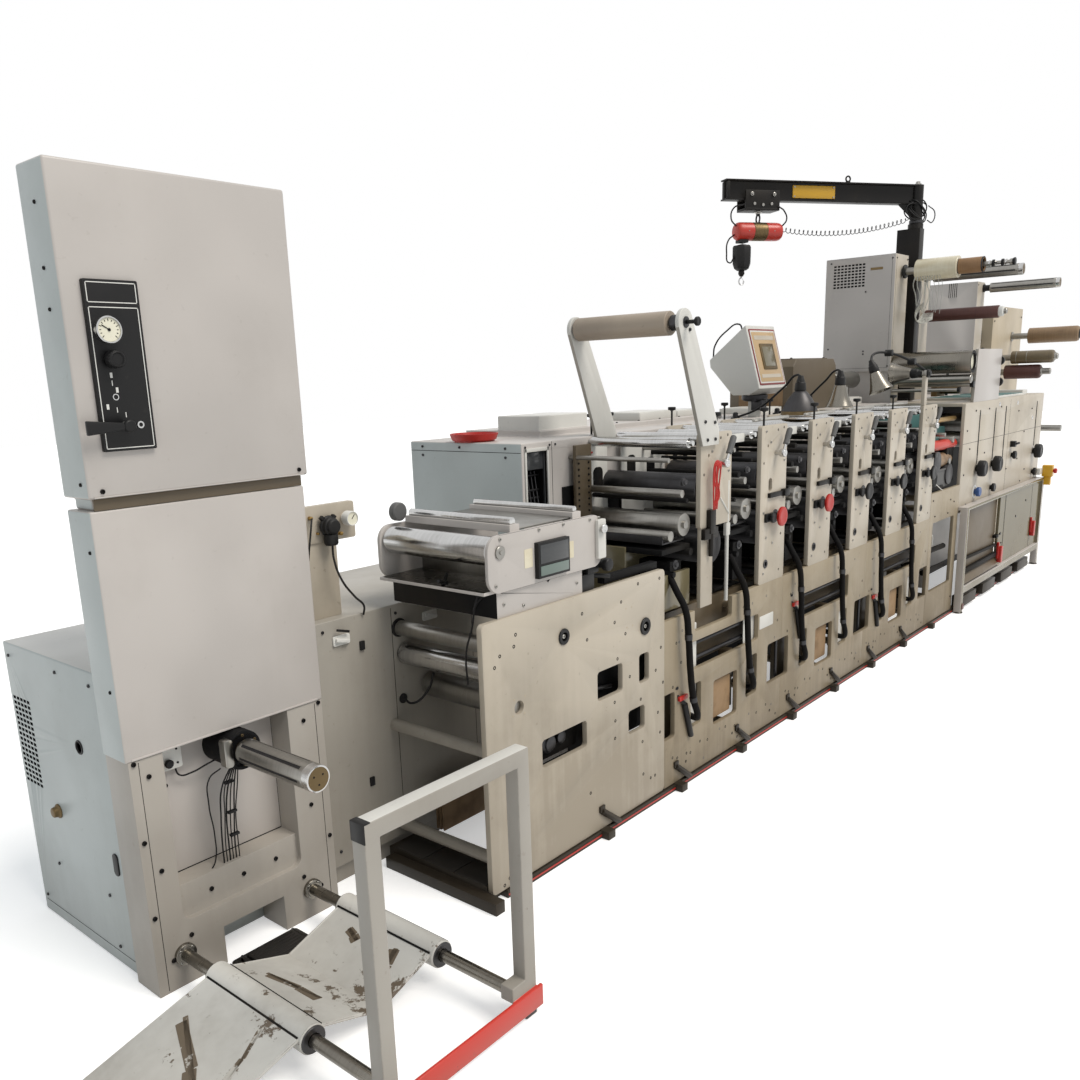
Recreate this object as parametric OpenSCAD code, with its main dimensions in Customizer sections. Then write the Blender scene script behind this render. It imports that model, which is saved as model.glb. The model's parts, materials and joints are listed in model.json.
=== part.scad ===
// Flexographic label press, narrow web, six print stations.
// X runs from the unwind end to the rewind end, Y from the operator side to
// the gear side, Z up from the floor. Millimetres.

/* [Press line] */
// Length of the infeed plate and of each base unit
unit_len = 990; // [900:10:1080]
// Number of base units behind the infeed, with two print stations each
base_units = 3; // [2:1:3]
// Distance between the outer faces of the operator and the gear side plates
web_gap = 480; // [420:10:560]
// Thickness of the side plates
plate_t = 20; // [12:1:30]
// Gap from the floor to the side plates
floor_gap = 30; // [20:1:60]
// Height of the infeed plate's top
infeed_top = 905; // [820:5:980]
// Height of the base frame's top
base_top = 700; // [620:5:780]
// How far the print stations rise above the gear side housing
station_rise = 10; // [0:1:30]
// Width of one station plate
station_w = 238; // [200:2:280]
// Distance from the unwind tower to the infeed plate
infeed_x = 905; // [860:5:1000]
// Length of the open die section
die_len = 545; // [480:5:640]
// Length of the finishing section
finish_len = 2010; // [1800:10:2300]

/* [Gear side] */
// Depth of the gear side housing
gear_depth = 600; // [500:10:700]
// Height of the gear side housing
gear_top = 1365; // [1300:5:1480]
// Height of the low gear side panel at the infeed
low_top = 890; // [800:5:960]
// Where the high housing starts
gear_x = 1670; // [1500:10:1800]

/* [Unwind tower] */
// Width of the tower's frame
tower_w = 612; // [520:4:720]
// Depth of the tower
tower_d = 120; // [90:5:160]
// Distance from the operator plates to the tower's front
tower_y = 408; // [360:4:440]
// Height of the tower's lower frame
tower_frame_h = 682; // [600:2:760]
// Height of the lower cover
lower_cover_h = 643; // [560:1:720]
// Height of the neck between the covers
neck_h = 30; // [10:1:60]
// Height of the upper cover
upper_cover_h = 755; // [600:5:900]
// Distance from the tower's left side to the air shaft
shaft_x = 322; // [260:2:360]
// Distance from the frame's top down to the air shaft
shaft_drop = 57; // [50:1:80]
// Diameter of the air shafts
shaft_d = 73; // [60:1:76]
// Length of the unwind air shaft
shaft_len = 368; // [300:4:420]

/* [Roll loader] */
// Height of the guide rods
rod_z = 95; // [80:1:110]
// Diameter of the guide rods
rod_d = 34; // [26:1:40]
// Outer diameter of the sleeves on the rods
sleeve_d = 64; // [54:1:80]
// Distance between the guide rods
rod_span = 430; // [380:2:470]
// Length of the guide rods
rod_len = 800; // [700:5:900]
// Length of the sleeves
sleeve_len = 410; // [300:5:450]
// Height of the handle frame
handle_h = 735; // [600:5:850]
// Size of the handle frame's square tube
handle_tube = 42; // [30:1:60]

/* [Rollers] */
// Diameter of the roller on the web guide
guide_roller_d = 88; // [60:1:100]
// Diameter of the roller on the tall arms
arm_roller_d = 86; // [60:1:100]
// Height of the tall arms' roller above the stations
arm_rise = 400; // [300:5:500]
// Diameter of the large steel roller at the rewind end
chill_d = 140; // [110:2:170]
// Gap between a roller's end and the plate beside it
end_gap = 6; // [5:0.5:10]

/* [Jib crane] */
// Height of the beam's top
beam_top = 2750; // [2600:10:2900]
// Height of the I-beam
beam_h = 120; // [100:2:150]
// Length of the beam from the swivel's axis
beam_len = 1435; // [1200:5:1600]
// Direction of the beam at rest, from +X
beam_angle = 148; // [140:1:160]

/* [Hidden] */
$fn = 48;

// Derived places along the press
stations = 2 * base_units;
station_pitch = unit_len / 2;
base_x = infeed_x + unit_len;
base_end = base_x + base_units * unit_len;
die_end = base_end + die_len;
press_end = die_end + finish_len;
gear_y = web_gap;
gear_back = gear_y + gear_depth;
tower_back = tower_y + tower_d;
first_plate_x = base_x + 254;
station_top = gear_top + station_rise;
arm_roller_z = station_top + arm_rise;
shaft_z = tower_frame_h - shaft_drop;
lower_cover_top = tower_frame_h + lower_cover_h;
upper_cover_bot = lower_cover_top + neck_h;
tower_top = upper_cover_bot + upper_cover_h;
rod_x1 = shaft_x - 228;
rod_x2 = rod_x1 + rod_span;
rod_end_y = tower_y - rod_len;
handle_y = rod_end_y - handle_tube / 2;
red_bar_t = 10;
flange_w = 70;
ramp_x = rod_x1 - 420;
tower_end_x = press_end + 1145;
x_mid = (ramp_x + tower_end_x) / 2;
mast_x = die_end + 400;
mast_y = gear_y + 65;
mast_top = beam_top - beam_h - 150;
swivel_y = mast_y - 30;
beam_tip_y = swivel_y + beam_len * sin(beam_angle) + flange_w / 2 * abs(cos(beam_angle));
y_mid = (handle_y - handle_tube / 2 - red_bar_t + beam_tip_y) / 2;
eps = 1;

// Moves the press so that the origin is at the middle of its footprint
module placed() {
    translate([-x_mid, -y_mid, 0]) children();
}

// Cylinder along +Y
module ycyl(d, l) {
    rotate([-90, 0, 0]) cylinder(d = d, h = l);
}

// Cylinder along +X
module xcyl(d, l) {
    rotate([0, 90, 0]) cylinder(d = d, h = l);
}

// Flat plate in X and Z with rounded corners, thickness along +Y
module xz_plate(w, h, t, r = 15) {
    rotate([90, 0, 0]) translate([0, 0, -t]) linear_extrude(t) rounded(w, h, r);
}

// Rectangle with rounded corners, drawn from its lower left corner
module rounded(w, h, r) {
    union() {
        translate([r, 0]) square([w - 2 * r, h]);
        translate([0, r]) square([w, h - 2 * r]);
        for (x = [r, w - r], y = [r, h - r]) translate([x, y]) circle(r);
    }
}

// Window cut through a side plate at y = 0
module window(x, z, w, h, r = 14) {
    translate([x, -eps, z]) xz_plate(w, h, plate_t + 2 * eps, r);
}

// Round hole cut through a side plate at y = 0
module plate_hole(x, z, d) {
    translate([x, -eps, z]) ycyl(d, plate_t + 2 * eps);
}

// ---- Unwind tower -------------------------------------------------------
post_w = 95;
pocket_z = 185;
pocket_d = 88;
cross_top = 285;
notch_w = 205;
hub_d = 2 * shaft_drop - 2;
journal_cut = 27;
hub_len = 34;

module unwind_frame() {
    color("Linen") placed() translate([10, tower_y, 0]) difference() {
        cube([tower_w, tower_d, tower_frame_h]);
        translate([post_w, -eps, pocket_z])
            xz_plate(tower_w - 2 * post_w - 30, tower_frame_h - pocket_z + 60, pocket_d, 30);
        translate([tower_w / 2 - notch_w / 2 + 5, -eps, -eps]) cube([notch_w, tower_d + 2 * eps, 115]);
    }
    // crossbar in the pocket
    color("Gainsboro") placed() translate([10 + post_w, tower_y + 18, pocket_z])
        cube([tower_w - 2 * post_w - 30, pocket_d - 18, cross_top - pocket_z]);
    // hub that carries the air shaft
    color("SaddleBrown") placed() translate([shaft_x, tower_y - hub_len, shaft_z])
        difference() {
            ycyl(hub_d, pocket_d + hub_len);
            translate([0, -eps, 0]) ycyl(shaft_d - journal_cut + 7, hub_len + 2 * eps);
        }
}

module unwind_lower_cover() {
    color("Gainsboro") placed() translate([3, tower_y - 2, tower_frame_h])
        cube([tower_w + 9, tower_d, lower_cover_top - tower_frame_h]);
}

module unwind_upper_cover() {
    color("WhiteSmoke") placed() {
        translate([0, tower_y - 14, upper_cover_bot])
            cube([tower_w + 22, tower_d + 14, tower_top - upper_cover_bot]);
        translate([20, tower_y + 16, lower_cover_top])
            cube([tower_w - 20, tower_d - 30, upper_cover_bot - lower_cover_top]);
    }
}

panel_x = 48;
panel_z = upper_cover_bot + 109;
panel_w = 133;
panel_h = 391;
panel_t = 12;
gauge_z = panel_z + 278;
lever_z = panel_z + 58;
lever_pivot_d = 18;

module control_panel() {
    color("DimGray") placed() translate([panel_x, tower_y - 14 - panel_t, panel_z])
        cube([panel_w, panel_t, panel_h]);
    color("Ivory") placed() translate([panel_x + 40, tower_y - 14 - panel_t - 22, gauge_z]) ycyl(62, 22);
    color("Black") placed() {
        translate([panel_x + 45, tower_y - 14 - panel_t - 34, gauge_z - 66]) ycyl(42, 34);
        translate([panel_x + 58, tower_y - 14 - panel_t - 16, lever_z]) ycyl(lever_pivot_d, 16);
    }
}

module panel_lever() {
    ly = tower_y - 14 - panel_t - 30;
    color("Black") placed() translate([panel_x + 58, ly, lever_z]) {
        ycyl(30, 13.5);
        translate([-105, 0, -11]) cube([100, 13.5, 22]);
    }
}

// Air shaft with a journal in its hub, pointing to the operator
module air_shaft(len) {
    body = len - 48;
    color("Silver") translate([0, -len, 0]) {
        ycyl(shaft_d, body);
        ycyl(shaft_d - journal_cut, len);
    }
}

module unwind_shaft() {
    placed() translate([shaft_x, tower_y, shaft_z]) air_shaft(shaft_len);
}

cabinet_x = 25;
cabinet_len = 640;

module side_cabinet() {
    color("LightSteelBlue") placed() translate([cabinet_x, tower_back + 2, 0])
        cube([cabinet_len, gear_back - tower_back + 60, low_top]);
}

// ---- Roll loader --------------------------------------------------------
flange_d = 62;
flange_t = 16;
sleeve_gap = 0.5;
sleeve_y = tower_y - 160 - sleeve_len;
deck_t = 8;

module guide_rods() {
    color("Gray") placed() for (x = [rod_x1, rod_x2]) translate([x, 0, rod_z]) {
        translate([0, rod_end_y, 0]) ycyl(rod_d, rod_len);
        translate([0, tower_y - flange_t, 0]) ycyl(flange_d, flange_t);
    }
}

// Sloping plate between two points of the XZ plane
module slope(x1, z1, x2, z2, y, l) {
    translate([0, y, 0]) rotate([90, 0, 0]) translate([0, 0, -l]) linear_extrude(l)
        polygon([[x1, z1], [x2, z2], [x2, z2 - deck_t], [x1, z1 - deck_t]]);
}

cradle_mid = rod_x1 + rod_span / 2;
cradle_low = 48;

module roll_cradle() {
    color("WhiteSmoke") placed() {
        difference() {
            union() {
                for (x = [rod_x1, rod_x2]) translate([x, sleeve_y, rod_z]) ycyl(sleeve_d, sleeve_len);
                slope(ramp_x, 12, rod_x1 - 10, rod_z + 24, sleeve_y + 10, sleeve_len - 20);
                slope(rod_x1 + 10, rod_z + 24, cradle_mid, cradle_low, sleeve_y + 10, sleeve_len - 20);
                slope(cradle_mid - eps, cradle_low, rod_x2 - 10, rod_z + 24, sleeve_y + 10, sleeve_len - 20);
            }
            for (x = [rod_x1, rod_x2]) translate([x, sleeve_y - eps, rod_z])
                ycyl(rod_d + 2 * sleeve_gap, sleeve_len + 2 * eps);
        }
    }
}

red_bar_h = 60;
red_bar_z = 20;
handle_x1 = rod_x1 + 5;
handle_x2 = rod_x2 + 50;

module handle_frame() {
    t = handle_tube;
    y0 = handle_y - t / 2;
    color("WhiteSmoke") placed() {
        for (x = [handle_x1, handle_x2]) translate([x - t / 2, y0, 0]) cube([t, t, handle_h - t]);
        translate([handle_x1 - t / 2, y0, handle_h - t]) cube([handle_x2 - handle_x1 + t, t, t]);
        // foot block between the second rod and its post
        translate([rod_x2 - t / 2, y0, rod_z - t / 2]) cube([handle_x2 - rod_x2, t, t]);
    }
    color("FireBrick") placed() translate([handle_x1 - t / 2 - 15, y0 - red_bar_t, red_bar_z])
        cube([handle_x2 - handle_x1 + t + 30, red_bar_t, red_bar_h]);
}

// ---- Gear side ----------------------------------------------------------
plinth_h = 70;
plinth_in = 25;
panel_skin = 20;

module gear_side_panel() {
    x0 = cabinet_x + cabinet_len + 1;
    l = gear_x - x0 - 1;
    color("Silver") placed() {
        translate([x0, gear_y, plinth_h]) cube([l, panel_skin, low_top - plinth_h]);
        translate([x0 + plinth_in, gear_y + plinth_in, 0])
            cube([l - plinth_in, gear_depth - plinth_in, plinth_h]);
        translate([x0, gear_y + panel_skin, plinth_h])
            cube([l, gear_depth - panel_skin, low_top - plinth_h]);
    }
}

module air_regulators() {
    x0 = tower_w + 84;
    color("Tan") placed() {
        translate([x0, gear_y + 44, low_top]) cube([120, 14, 240]);
        translate([x0, gear_y + 38, low_top + 240]) cube([195, 20, 115]);
    }
    color("Black") placed() translate([x0 + 78, gear_y - 12, low_top + 290]) {
        ycyl(66, 51);
        translate([0, 26, -58]) cylinder(d = 44, h = 40);
    }
    color("White") placed() translate([x0 + 155, gear_y - 2, low_top + 305]) ycyl(46, 41);
}

deck_x = 330;
deck_len = 1500;
deck_y = 180;
deck_h = 24;
tray_len = 330;
tray_h = 60;

module gear_housing() {
    color("LightGray") placed() {
        translate([gear_x, gear_y, plinth_h])
            cube([tower_end_x - tower_len - gear_x, gear_depth, gear_top - plinth_h]);
        translate([gear_x + plinth_in, gear_y + plinth_in, 0])
            cube([press_end - gear_x - 2 * plinth_in, gear_depth - 2 * plinth_in, plinth_h]);
        // raised deck with a flat tray box on it
        translate([gear_x + deck_x, gear_y + deck_y, gear_top - eps])
            cube([deck_len, gear_depth - deck_y, deck_h + eps]);
        translate([gear_x + deck_x + 20, gear_y + deck_y + 20, gear_top + deck_h - eps])
            cube([tray_len, 230, tray_h + eps]);
    }
}

// ---- Infeed -------------------------------------------------------------
tie_d = 40;

// Tie bars from the operator plates to the gear side
module ties(list) {
    for (p = list) translate([p[0], plate_t - eps, p[1]]) ycyl(tie_d, gear_y - plate_t + eps);
}

module infeed_plate() {
    color("Linen") placed() {
        difference() {
            translate([infeed_x, 0, floor_gap]) xz_plate(unit_len, infeed_top - floor_gap, plate_t, 18);
            translate([infeed_x, 0, 0]) {
                window(565, infeed_top - 395, 150, 105);
                window(820, infeed_top - 400, 65, 110);
                window(750, infeed_top - 575, 105, 90);
                window(260, infeed_top - 535, 240, 95);
                plate_hole(155, infeed_top - 295, 44);
                plate_hole(385, infeed_top - 120, 50);
                plate_hole(860, infeed_top - 190, 58);
            }
        }
        translate([infeed_x, 0, 0])
            ties([[60, 120], [60, infeed_top - 425], [650, 120], [700, infeed_top - 105]]);
    }
}

rail_h = 26;
skid_bar = 40;
skid_h = 58;
skid_w = 170;

// Rail along the operator side with its feet, and the low skid under the infeed
module floor_rail() {
    color("Black") placed() {
        translate([infeed_x + 60, -8, 0]) cube([press_end - infeed_x - 120, 36, rail_h]);
        translate([infeed_x - skid_bar - 2, -50, 0]) cube([skid_bar, gear_y + 25, skid_bar]);
        translate([infeed_x - 4, plate_t + 4, 0]) cube([skid_w, gear_y - plate_t - 8, skid_h]);
        for (i = [0 : 2 * base_units + 1])
            translate([infeed_x + 565 + i * station_pitch, -40, 0]) cube([40, 100, rail_h + 4]);
    }
}

infeed_roller_x = infeed_x + 107;
r1_z = infeed_top - 97;
r2_dx = 18;
r2_z = infeed_top - 189;

// Roller across the web gap between y0 and y1, with journals that may reach into the plates
module cross_roller(d, journal = 20, y0 = plate_t, y1 = gear_y, reach = 0) {
    color("Silver") {
        translate([0, y0 + end_gap, 0]) ycyl(d, y1 - y0 - 2 * end_gap);
        translate([0, y0 - reach, 0]) ycyl(journal, y1 - y0 + 2 * reach);
    }
}

module infeed_roller_1() {
    placed() translate([infeed_roller_x, 0, r1_z]) cross_roller(52);
}

module infeed_roller_2() {
    placed() translate([infeed_roller_x + r2_dx, 0, r2_z]) cross_roller(76);
}

guide_x = infeed_x + 40;
guide_len = 565;
guide_z0 = infeed_top + 80;
guide_z1 = guide_z0 + 173;
guide_t = 12;
guide_axis_x = guide_x + 52;
guide_axis_z = guide_z0 + 123;
journal_d = 20.9;
journal_hole = 21;
screen_w = 155;
screen_h = 112;

module web_guide() {
    color("WhiteSmoke") placed() {
        for (y = [0, gear_y - guide_t]) difference() {
            translate([guide_x, y, guide_z0]) xz_plate(guide_len, guide_z1 - guide_z0, guide_t, 50);
            translate([guide_axis_x, y - eps, guide_axis_z]) ycyl(journal_hole, guide_t + 2 * eps);
        }
        translate([guide_x - 10, guide_t, guide_z0]) cube([guide_len - 50, gear_y - 2 * guide_t, 10]);
        translate([guide_x + 45, guide_t, infeed_top])
            cube([420, gear_y - 2 * guide_t, guide_z0 - infeed_top]);
        for (x = [guide_x + 115, guide_x + 420]) translate([x, guide_t, guide_z1 - 2])
            cube([44, gear_y - 2 * guide_t, 22]);
    }
    color("Black") placed() translate([guide_x + 212, -16, guide_z0 + 15]) cube([screen_w, 16, screen_h]);
}

module guide_roller() {
    placed() translate([guide_axis_x, 0, guide_axis_z])
        cross_roller(guide_roller_d, journal_d, guide_t, gear_y - guide_t, guide_t - 2);
}

arm_t = 16;
arm_w0 = 120;
arm_w1 = 96;
arm_base_x = base_x + 302;
arm_top_x = base_x + 112;
arm_base_z = station_top - 45;

// Leaning arm between its foot and its rounded head
module arm_outline() {
    hull() {
        translate([arm_base_x - arm_w0 / 2, arm_base_z]) square([arm_w0, 60]);
        translate([arm_top_x, arm_roller_z]) circle(arm_w1 / 2, $fn = 32);
    }
}

module idler_arms() {
    color("Linen") placed() for (y = [-arm_t, gear_y - arm_t]) difference() {
        translate([0, y, 0]) rotate([90, 0, 0]) translate([0, 0, -arm_t]) linear_extrude(arm_t) arm_outline();
        translate([arm_top_x, y - eps, arm_roller_z]) ycyl(journal_hole, arm_t + 2 * eps);
    }
}

module arm_roller() {
    placed() translate([arm_top_x, 0, arm_roller_z])
        cross_roller(arm_roller_d, journal_d, 0, gear_y - arm_t, arm_t - 2);
}

// ---- Print stations -----------------------------------------------------
// Bottom of the long window under the stations
long_z = base_top - 240;

module base_frame(u) {
    x0 = base_x + u * unit_len;
    color("Linen") placed() {
        difference() {
            translate([x0, 0, floor_gap]) cube([unit_len, plate_t, base_top - floor_gap]);
            translate([x0, 0, 0]) {
                for (x = [-135, unit_len - 135]) window(x, 225, 210, long_z - 50 - 225);
                window(195, long_z, 565, 115);
                window(195, 225, 80, long_z - 60 - 225);
                window(375, 178, 200, long_z - 90 - 178);
                window(655, 220, 100, long_z - 60 - 220);
                if (u == 0) window(220, base_top - 85, 300, 120);
            }
        }
        translate([x0, 0, 0]) ties([for (x = [130, 620], z = [100, base_top - 60]) [x, z]]);
    }
}

module base_frame_1() base_frame(0);
module base_frame_2() base_frame(1);
module base_frame_3() base_frame(2);

function station_x(i) = first_plate_x + i * station_pitch;

module station_plate(i) {
    z0 = i == 0 ? station_top - 360 : base_top;
    difference() {
        translate([station_x(i), 0, z0]) xz_plate(station_w, station_top - z0, plate_t, 12);
        translate([station_x(i), 0, 0]) {
            plate_hole(60, station_top - 85, 14);
            if (i > 0) window(72, station_top - 280, 34, 58, 16);
            if (i > 0) plate_hole(60, base_top + 85, 34);
            plate_hole(lever_dx, lever_axis_z, pin_d + 2 * pin_gap);
        }
    }
    if (i == 0) translate([station_x(i) + 10, 2, base_top]) cube([90, plate_t - 4, z0 - base_top]);
}

module station_plates() {
    color("Linen") placed() for (i = [0 : stations - 1]) station_plate(i);
}

lever_dx = 130;
lever_axis_z = station_top - 118;
pin_d = 20;
pin_gap = 0.05;
grip_len = 118;
grip_d = 26;
lever_lean = 32;

module pressure_lever(i) {
    color("Gray") placed() translate([station_x(i) + lever_dx, 0, lever_axis_z]) {
        translate([0, -46, 0]) ycyl(pin_d, 46 + plate_t);
        translate([0, -46, 0]) ycyl(34, 24);
        rotate([0, lever_lean, 0]) translate([0, -34, 0]) cylinder(d = grip_d, h = grip_len);
    }
}

module pressure_lever_1() pressure_lever(0);
module pressure_lever_2() pressure_lever(1);
module pressure_lever_3() pressure_lever(2);
module pressure_lever_4() pressure_lever(3);
module pressure_lever_5() pressure_lever(4);
module pressure_lever_6() pressure_lever(5);

module print_rollers() {
    color("DarkSlateGray") placed() for (i = [0 : stations - 1]) translate([station_x(i), plate_t, 0]) {
        translate([60, 0, station_top - 210]) ycyl(110, gear_y - plate_t);
        translate([-70, 0, station_top - 335]) ycyl(90, gear_y - plate_t);
        translate([140, 0, station_top - 445]) ycyl(150, gear_y - plate_t);
    }
}

idler_z = station_top - 30;
idler_dx = -55;

module top_idlers() {
    color("Silver") placed() for (i = [0 : stations - 1]) {
        translate([station_x(i) + 150, plate_t, idler_z]) ycyl(50, gear_y - plate_t);
        translate([station_x(i) + idler_dx, 0, idler_z]) ycyl(38, gear_y);
    }
}

// ---- Die and finishing sections -----------------------------------------
beam_z0 = 660;
beam_z1 = 845;

module die_frame() {
    color("Linen") placed() {
        difference() {
            translate([base_end, 0, floor_gap]) cube([die_len - 1, plate_t, beam_z1 - floor_gap]);
            window(base_end + 60, 230, die_len - 140, beam_z0 - 230);
        }
        translate([base_end, 0, 0]) ties([[30, 100], [30, 750], [die_len - 40, 100], [die_len - 40, 750]]);
    }
    color("FireBrick") placed() translate([base_end + 20, 120, gear_top - 245]) cube([die_len - 60, 60, 60]);
    color("Teal") placed()
        translate([base_end + 20, gear_y - 90, gear_top - 185]) cube([die_len - 60, 90, 150]);
    color("DimGray") placed() {
        translate([base_end + 140, plate_t, gear_top - 345]) ycyl(130, gear_y - plate_t);
        translate([base_end + 380, plate_t, gear_top - 435]) ycyl(130, gear_y - plate_t);
    }
}

module finishing_panel() {
    color("Linen") placed() {
        difference() {
            translate([die_end, 0, beam_z0]) xz_plate(finish_len, gear_top - 10 - beam_z0, plate_t, 10);
            for (x = [320, 680, 940, 1810]) window(die_end + x, gear_top - 365, 24, 270, 11);
        }
        translate([die_end, plate_t - eps, gear_top - 30]) cube([finish_len, gear_y - plate_t, 20]);
    }
}

module panel_stand() {
    t = 45;
    color("WhiteSmoke") placed() translate([die_end, -60, 0]) {
        translate([0, 0, 0]) cube([t, t, beam_z0 + 20]);
        translate([finish_len - t, 0, 0]) cube([t, t, beam_z0 + 20]);
        translate([t, 0, 130]) cube([finish_len - 2 * t, t, t]);
        translate([0, 0, beam_z0 + 20]) cube([finish_len, 60, 20]);
        translate([850, 20, 175]) cube([finish_len - 850 - t, 20, beam_z0 + 20 - 175]);
    }
}

chill_x = die_end + 60;
chill_z = gear_top + 245;
chill_len = 490;
lower_z = chill_z - 105;
lower_d = 54;

// Roller held at the gear side only, open at its free end
module chill_roller() {
    color("Silver") placed() translate([chill_x, gear_y - chill_len, chill_z]) difference() {
        union() {
            ycyl(chill_d, chill_len - end_gap);
            ycyl(40, chill_len);
        }
        translate([0, -eps, 0]) ycyl(chill_d - 36, 110);
    }
}

module lower_roller() {
    color("Silver") placed() translate([chill_x, gear_y - chill_len, lower_z]) {
        ycyl(lower_d, chill_len - end_gap);
        ycyl(20, chill_len);
    }
}

bracket_x = 190;
bracket_len = 540;

module roller_bracket() {
    color("WhiteSmoke") placed() translate([die_end + bracket_x, 0, gear_top - 10])
        rotate([90, 0, 0]) translate([0, 0, -plate_t]) linear_extrude(plate_t)
        polygon([[-30, 0], [bracket_len, 0], [bracket_len, 332], [0, 332]]);
}

cab_d = 460;
cab1_x = die_end - 20;
cab1_w = 230;
cab1_z0 = gear_top + 203;
cab1_top = cab1_z0 + 728;
cab2_x = mast_x + 85;
cab2_w = 170;
cab2_top = gear_top + 885;
cab3_x = die_end + 1766;
cab3_w = 190;
cab3_top = gear_top + 850;

module rewind_cabinets() {
    color("Gainsboro") placed() {
        translate([cab1_x, gear_y, cab1_z0]) cube([cab1_w, cab_d, cab1_top - cab1_z0]);
        translate([cab1_x + 40, gear_y, gear_top]) cube([130, 300, cab1_z0 - gear_top]);
        translate([cab2_x, gear_y, gear_top]) cube([cab2_w, cab_d, cab2_top - gear_top]);
        translate([cab3_x, gear_y, gear_top]) cube([cab3_w, cab_d, cab3_top - gear_top]);
    }
}

tower_len = 900;
tower_h = gear_top + 685;
arm_rod_d = 54;
arm_rod_len = 480;
arm_rod_dx = 462;

// Tall rear cabinet with a bare steel arm standing out towards the operator
module rewind_tower() {
    placed() translate([tower_end_x - tower_len, gear_y, 0]) {
        color("Tan") rotate([90, 0, 0]) translate([0, 0, -gear_depth]) linear_extrude(gear_depth)
            polygon([[0, 0], [tower_len, 0], [tower_len, tower_h], [90, tower_h], [0, tower_h - 60]]);
        color("Silver") translate([arm_rod_dx, -arm_rod_len, tower_h / 2 + 16]) difference() {
            ycyl(arm_rod_d, arm_rod_len + eps);
            translate([0, 32, -arm_rod_d]) cylinder(d = 16, h = 2 * arm_rod_d);
        }
    }
}

s1_dx = 132;
s1_z = cab1_top - 106;
s1_len = 673;
film_d = 132;
core_d = 92;

module rewind_shaft_1() {
    placed() translate([cab1_x + s1_dx, gear_y, s1_z]) {
        color("Silver") translate([0, -s1_len, 0]) ycyl(46, s1_len);
        color("Wheat") translate([0, -494, 0]) ycyl(core_d, 150);
        color("Ivory") translate([0, -348, 0]) ycyl(film_d, 257);
    }
}

s2_dx = 85;
s2_z = cab2_top - 70;
s3_dx = 150;
s3_z = cab3_top - 45;

module rewind_shaft_2() {
    placed() translate([cab2_x + s2_dx, gear_y, s2_z]) air_shaft(610);
}

module rewind_shaft_3() {
    placed() translate([cab3_x + s3_dx, gear_y, s3_z]) air_shaft(542);
}

waste_z = s2_z - 255;
waste_d = 80;

module waste_roller() {
    placed() translate([cab2_x + s2_dx, gear_y, waste_z]) {
        color("Maroon") translate([0, -482, 0]) ycyl(waste_d, 470);
        color("White") translate([0, -512, 0]) ycyl(waste_d - 16, 31);
        color("Silver") translate([0, -530, 0]) ycyl(34, 530);
    }
}

ts1_dx = 300;
ts1_z = tower_h - 238;
ts2_dx = 600;
ts2_z = tower_h - 416;
ts3_z = ts2_z - 119;

// Rewind shaft with a roll on it, held at the tower
module tower_roll(dx, z, roll_d, roll_y, roll_len, tip) {
    placed() translate([tower_end_x - dx, gear_y, z]) {
        color("Silver") translate([0, -tip, 0]) ycyl(50, tip);
        color("SaddleBrown") translate([0, roll_y - roll_len, 0]) ycyl(roll_d, roll_len);
    }
}

module tower_shaft_1() tower_roll(ts1_dx, ts1_z, 128, -137, 385, 550);
module tower_shaft_2() tower_roll(ts2_dx, ts2_z, 104, -90, 325, 440);
module tower_shaft_3() tower_roll(ts2_dx, ts3_z, 114, -46, 278, 395);

// ---- Jib crane ----------------------------------------------------------
post_d = 76;
web_t = 8;
trolley_r = 1190;
eye_r = 540;
bag_dr = 110;
cord_d = 34;

module jib_mast() {
    color("Black") placed() {
        translate([mast_x - 40, mast_y - 75, gear_top]) cube([80, 150, mast_top - gear_top]);
        translate([mast_x - 60, mast_y - 62, gear_top]) cube([120, 190, 14]);
        translate([mast_x, swivel_y, mast_top]) cylinder(d = 96, h = 30);
    }
}

// Puts its children in the beam's own frame: X outwards from the swivel
module on_beam() {
    placed() translate([mast_x, swivel_y, 0]) rotate(beam_angle) children();
}

module jib_beam() {
    z0 = beam_top - beam_h;
    color("Black") on_beam() {
        translate([0, 0, mast_top + 31]) cylinder(d = post_d, h = beam_top - mast_top - 31);
        translate([0, -flange_w / 2, beam_top - 9]) cube([beam_len, flange_w, 9]);
        translate([0, -flange_w / 2, z0]) cube([beam_len, flange_w, 9]);
        translate([0, -web_t / 2, z0]) cube([beam_len, web_t, beam_h]);
        translate([0, web_t / 2, 0]) rotate([90, 0, 0]) linear_extrude(web_t)
            polygon([[30, z0 + 1], [150, z0 + 1], [30, z0 - 90]]);
        // lifting eye
        translate([eye_r, 0, beam_top - eps]) cylinder(d = 30, h = 12);
        translate([eye_r, 0, beam_top + 26]) rotate([90, 0, 0]) rotate_extrude()
            translate([16, 0]) circle(5);
    }
}

module hoist() {
    z0 = beam_top - beam_h;
    color("Black") on_beam() translate([trolley_r, 0, 0]) {
        for (s = [-1, 1]) translate([-120, s * (flange_w / 2 + 14) - 6, z0 - 50]) cube([240, 12, 110]);
        translate([-120, -flange_w / 2 - 20, z0 - 62]) cube([240, flange_w + 40, 14]);
        translate([0, 0, z0 - 140]) cylinder(d = 24, h = 80);
    }
    color("Red") on_beam() translate([trolley_r - 160, 0, z0 - 180]) xcyl(110, 320);
    color("Black") on_beam() translate([trolley_r + bag_dr, 0, z0 - 412]) {
        cylinder(d = 120, h = 150);
        translate([0, 0, 148]) cylinder(d = 20, h = 60);
        translate([0, 0, -90]) cylinder(d = 40, h = 92);
    }
}

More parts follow.
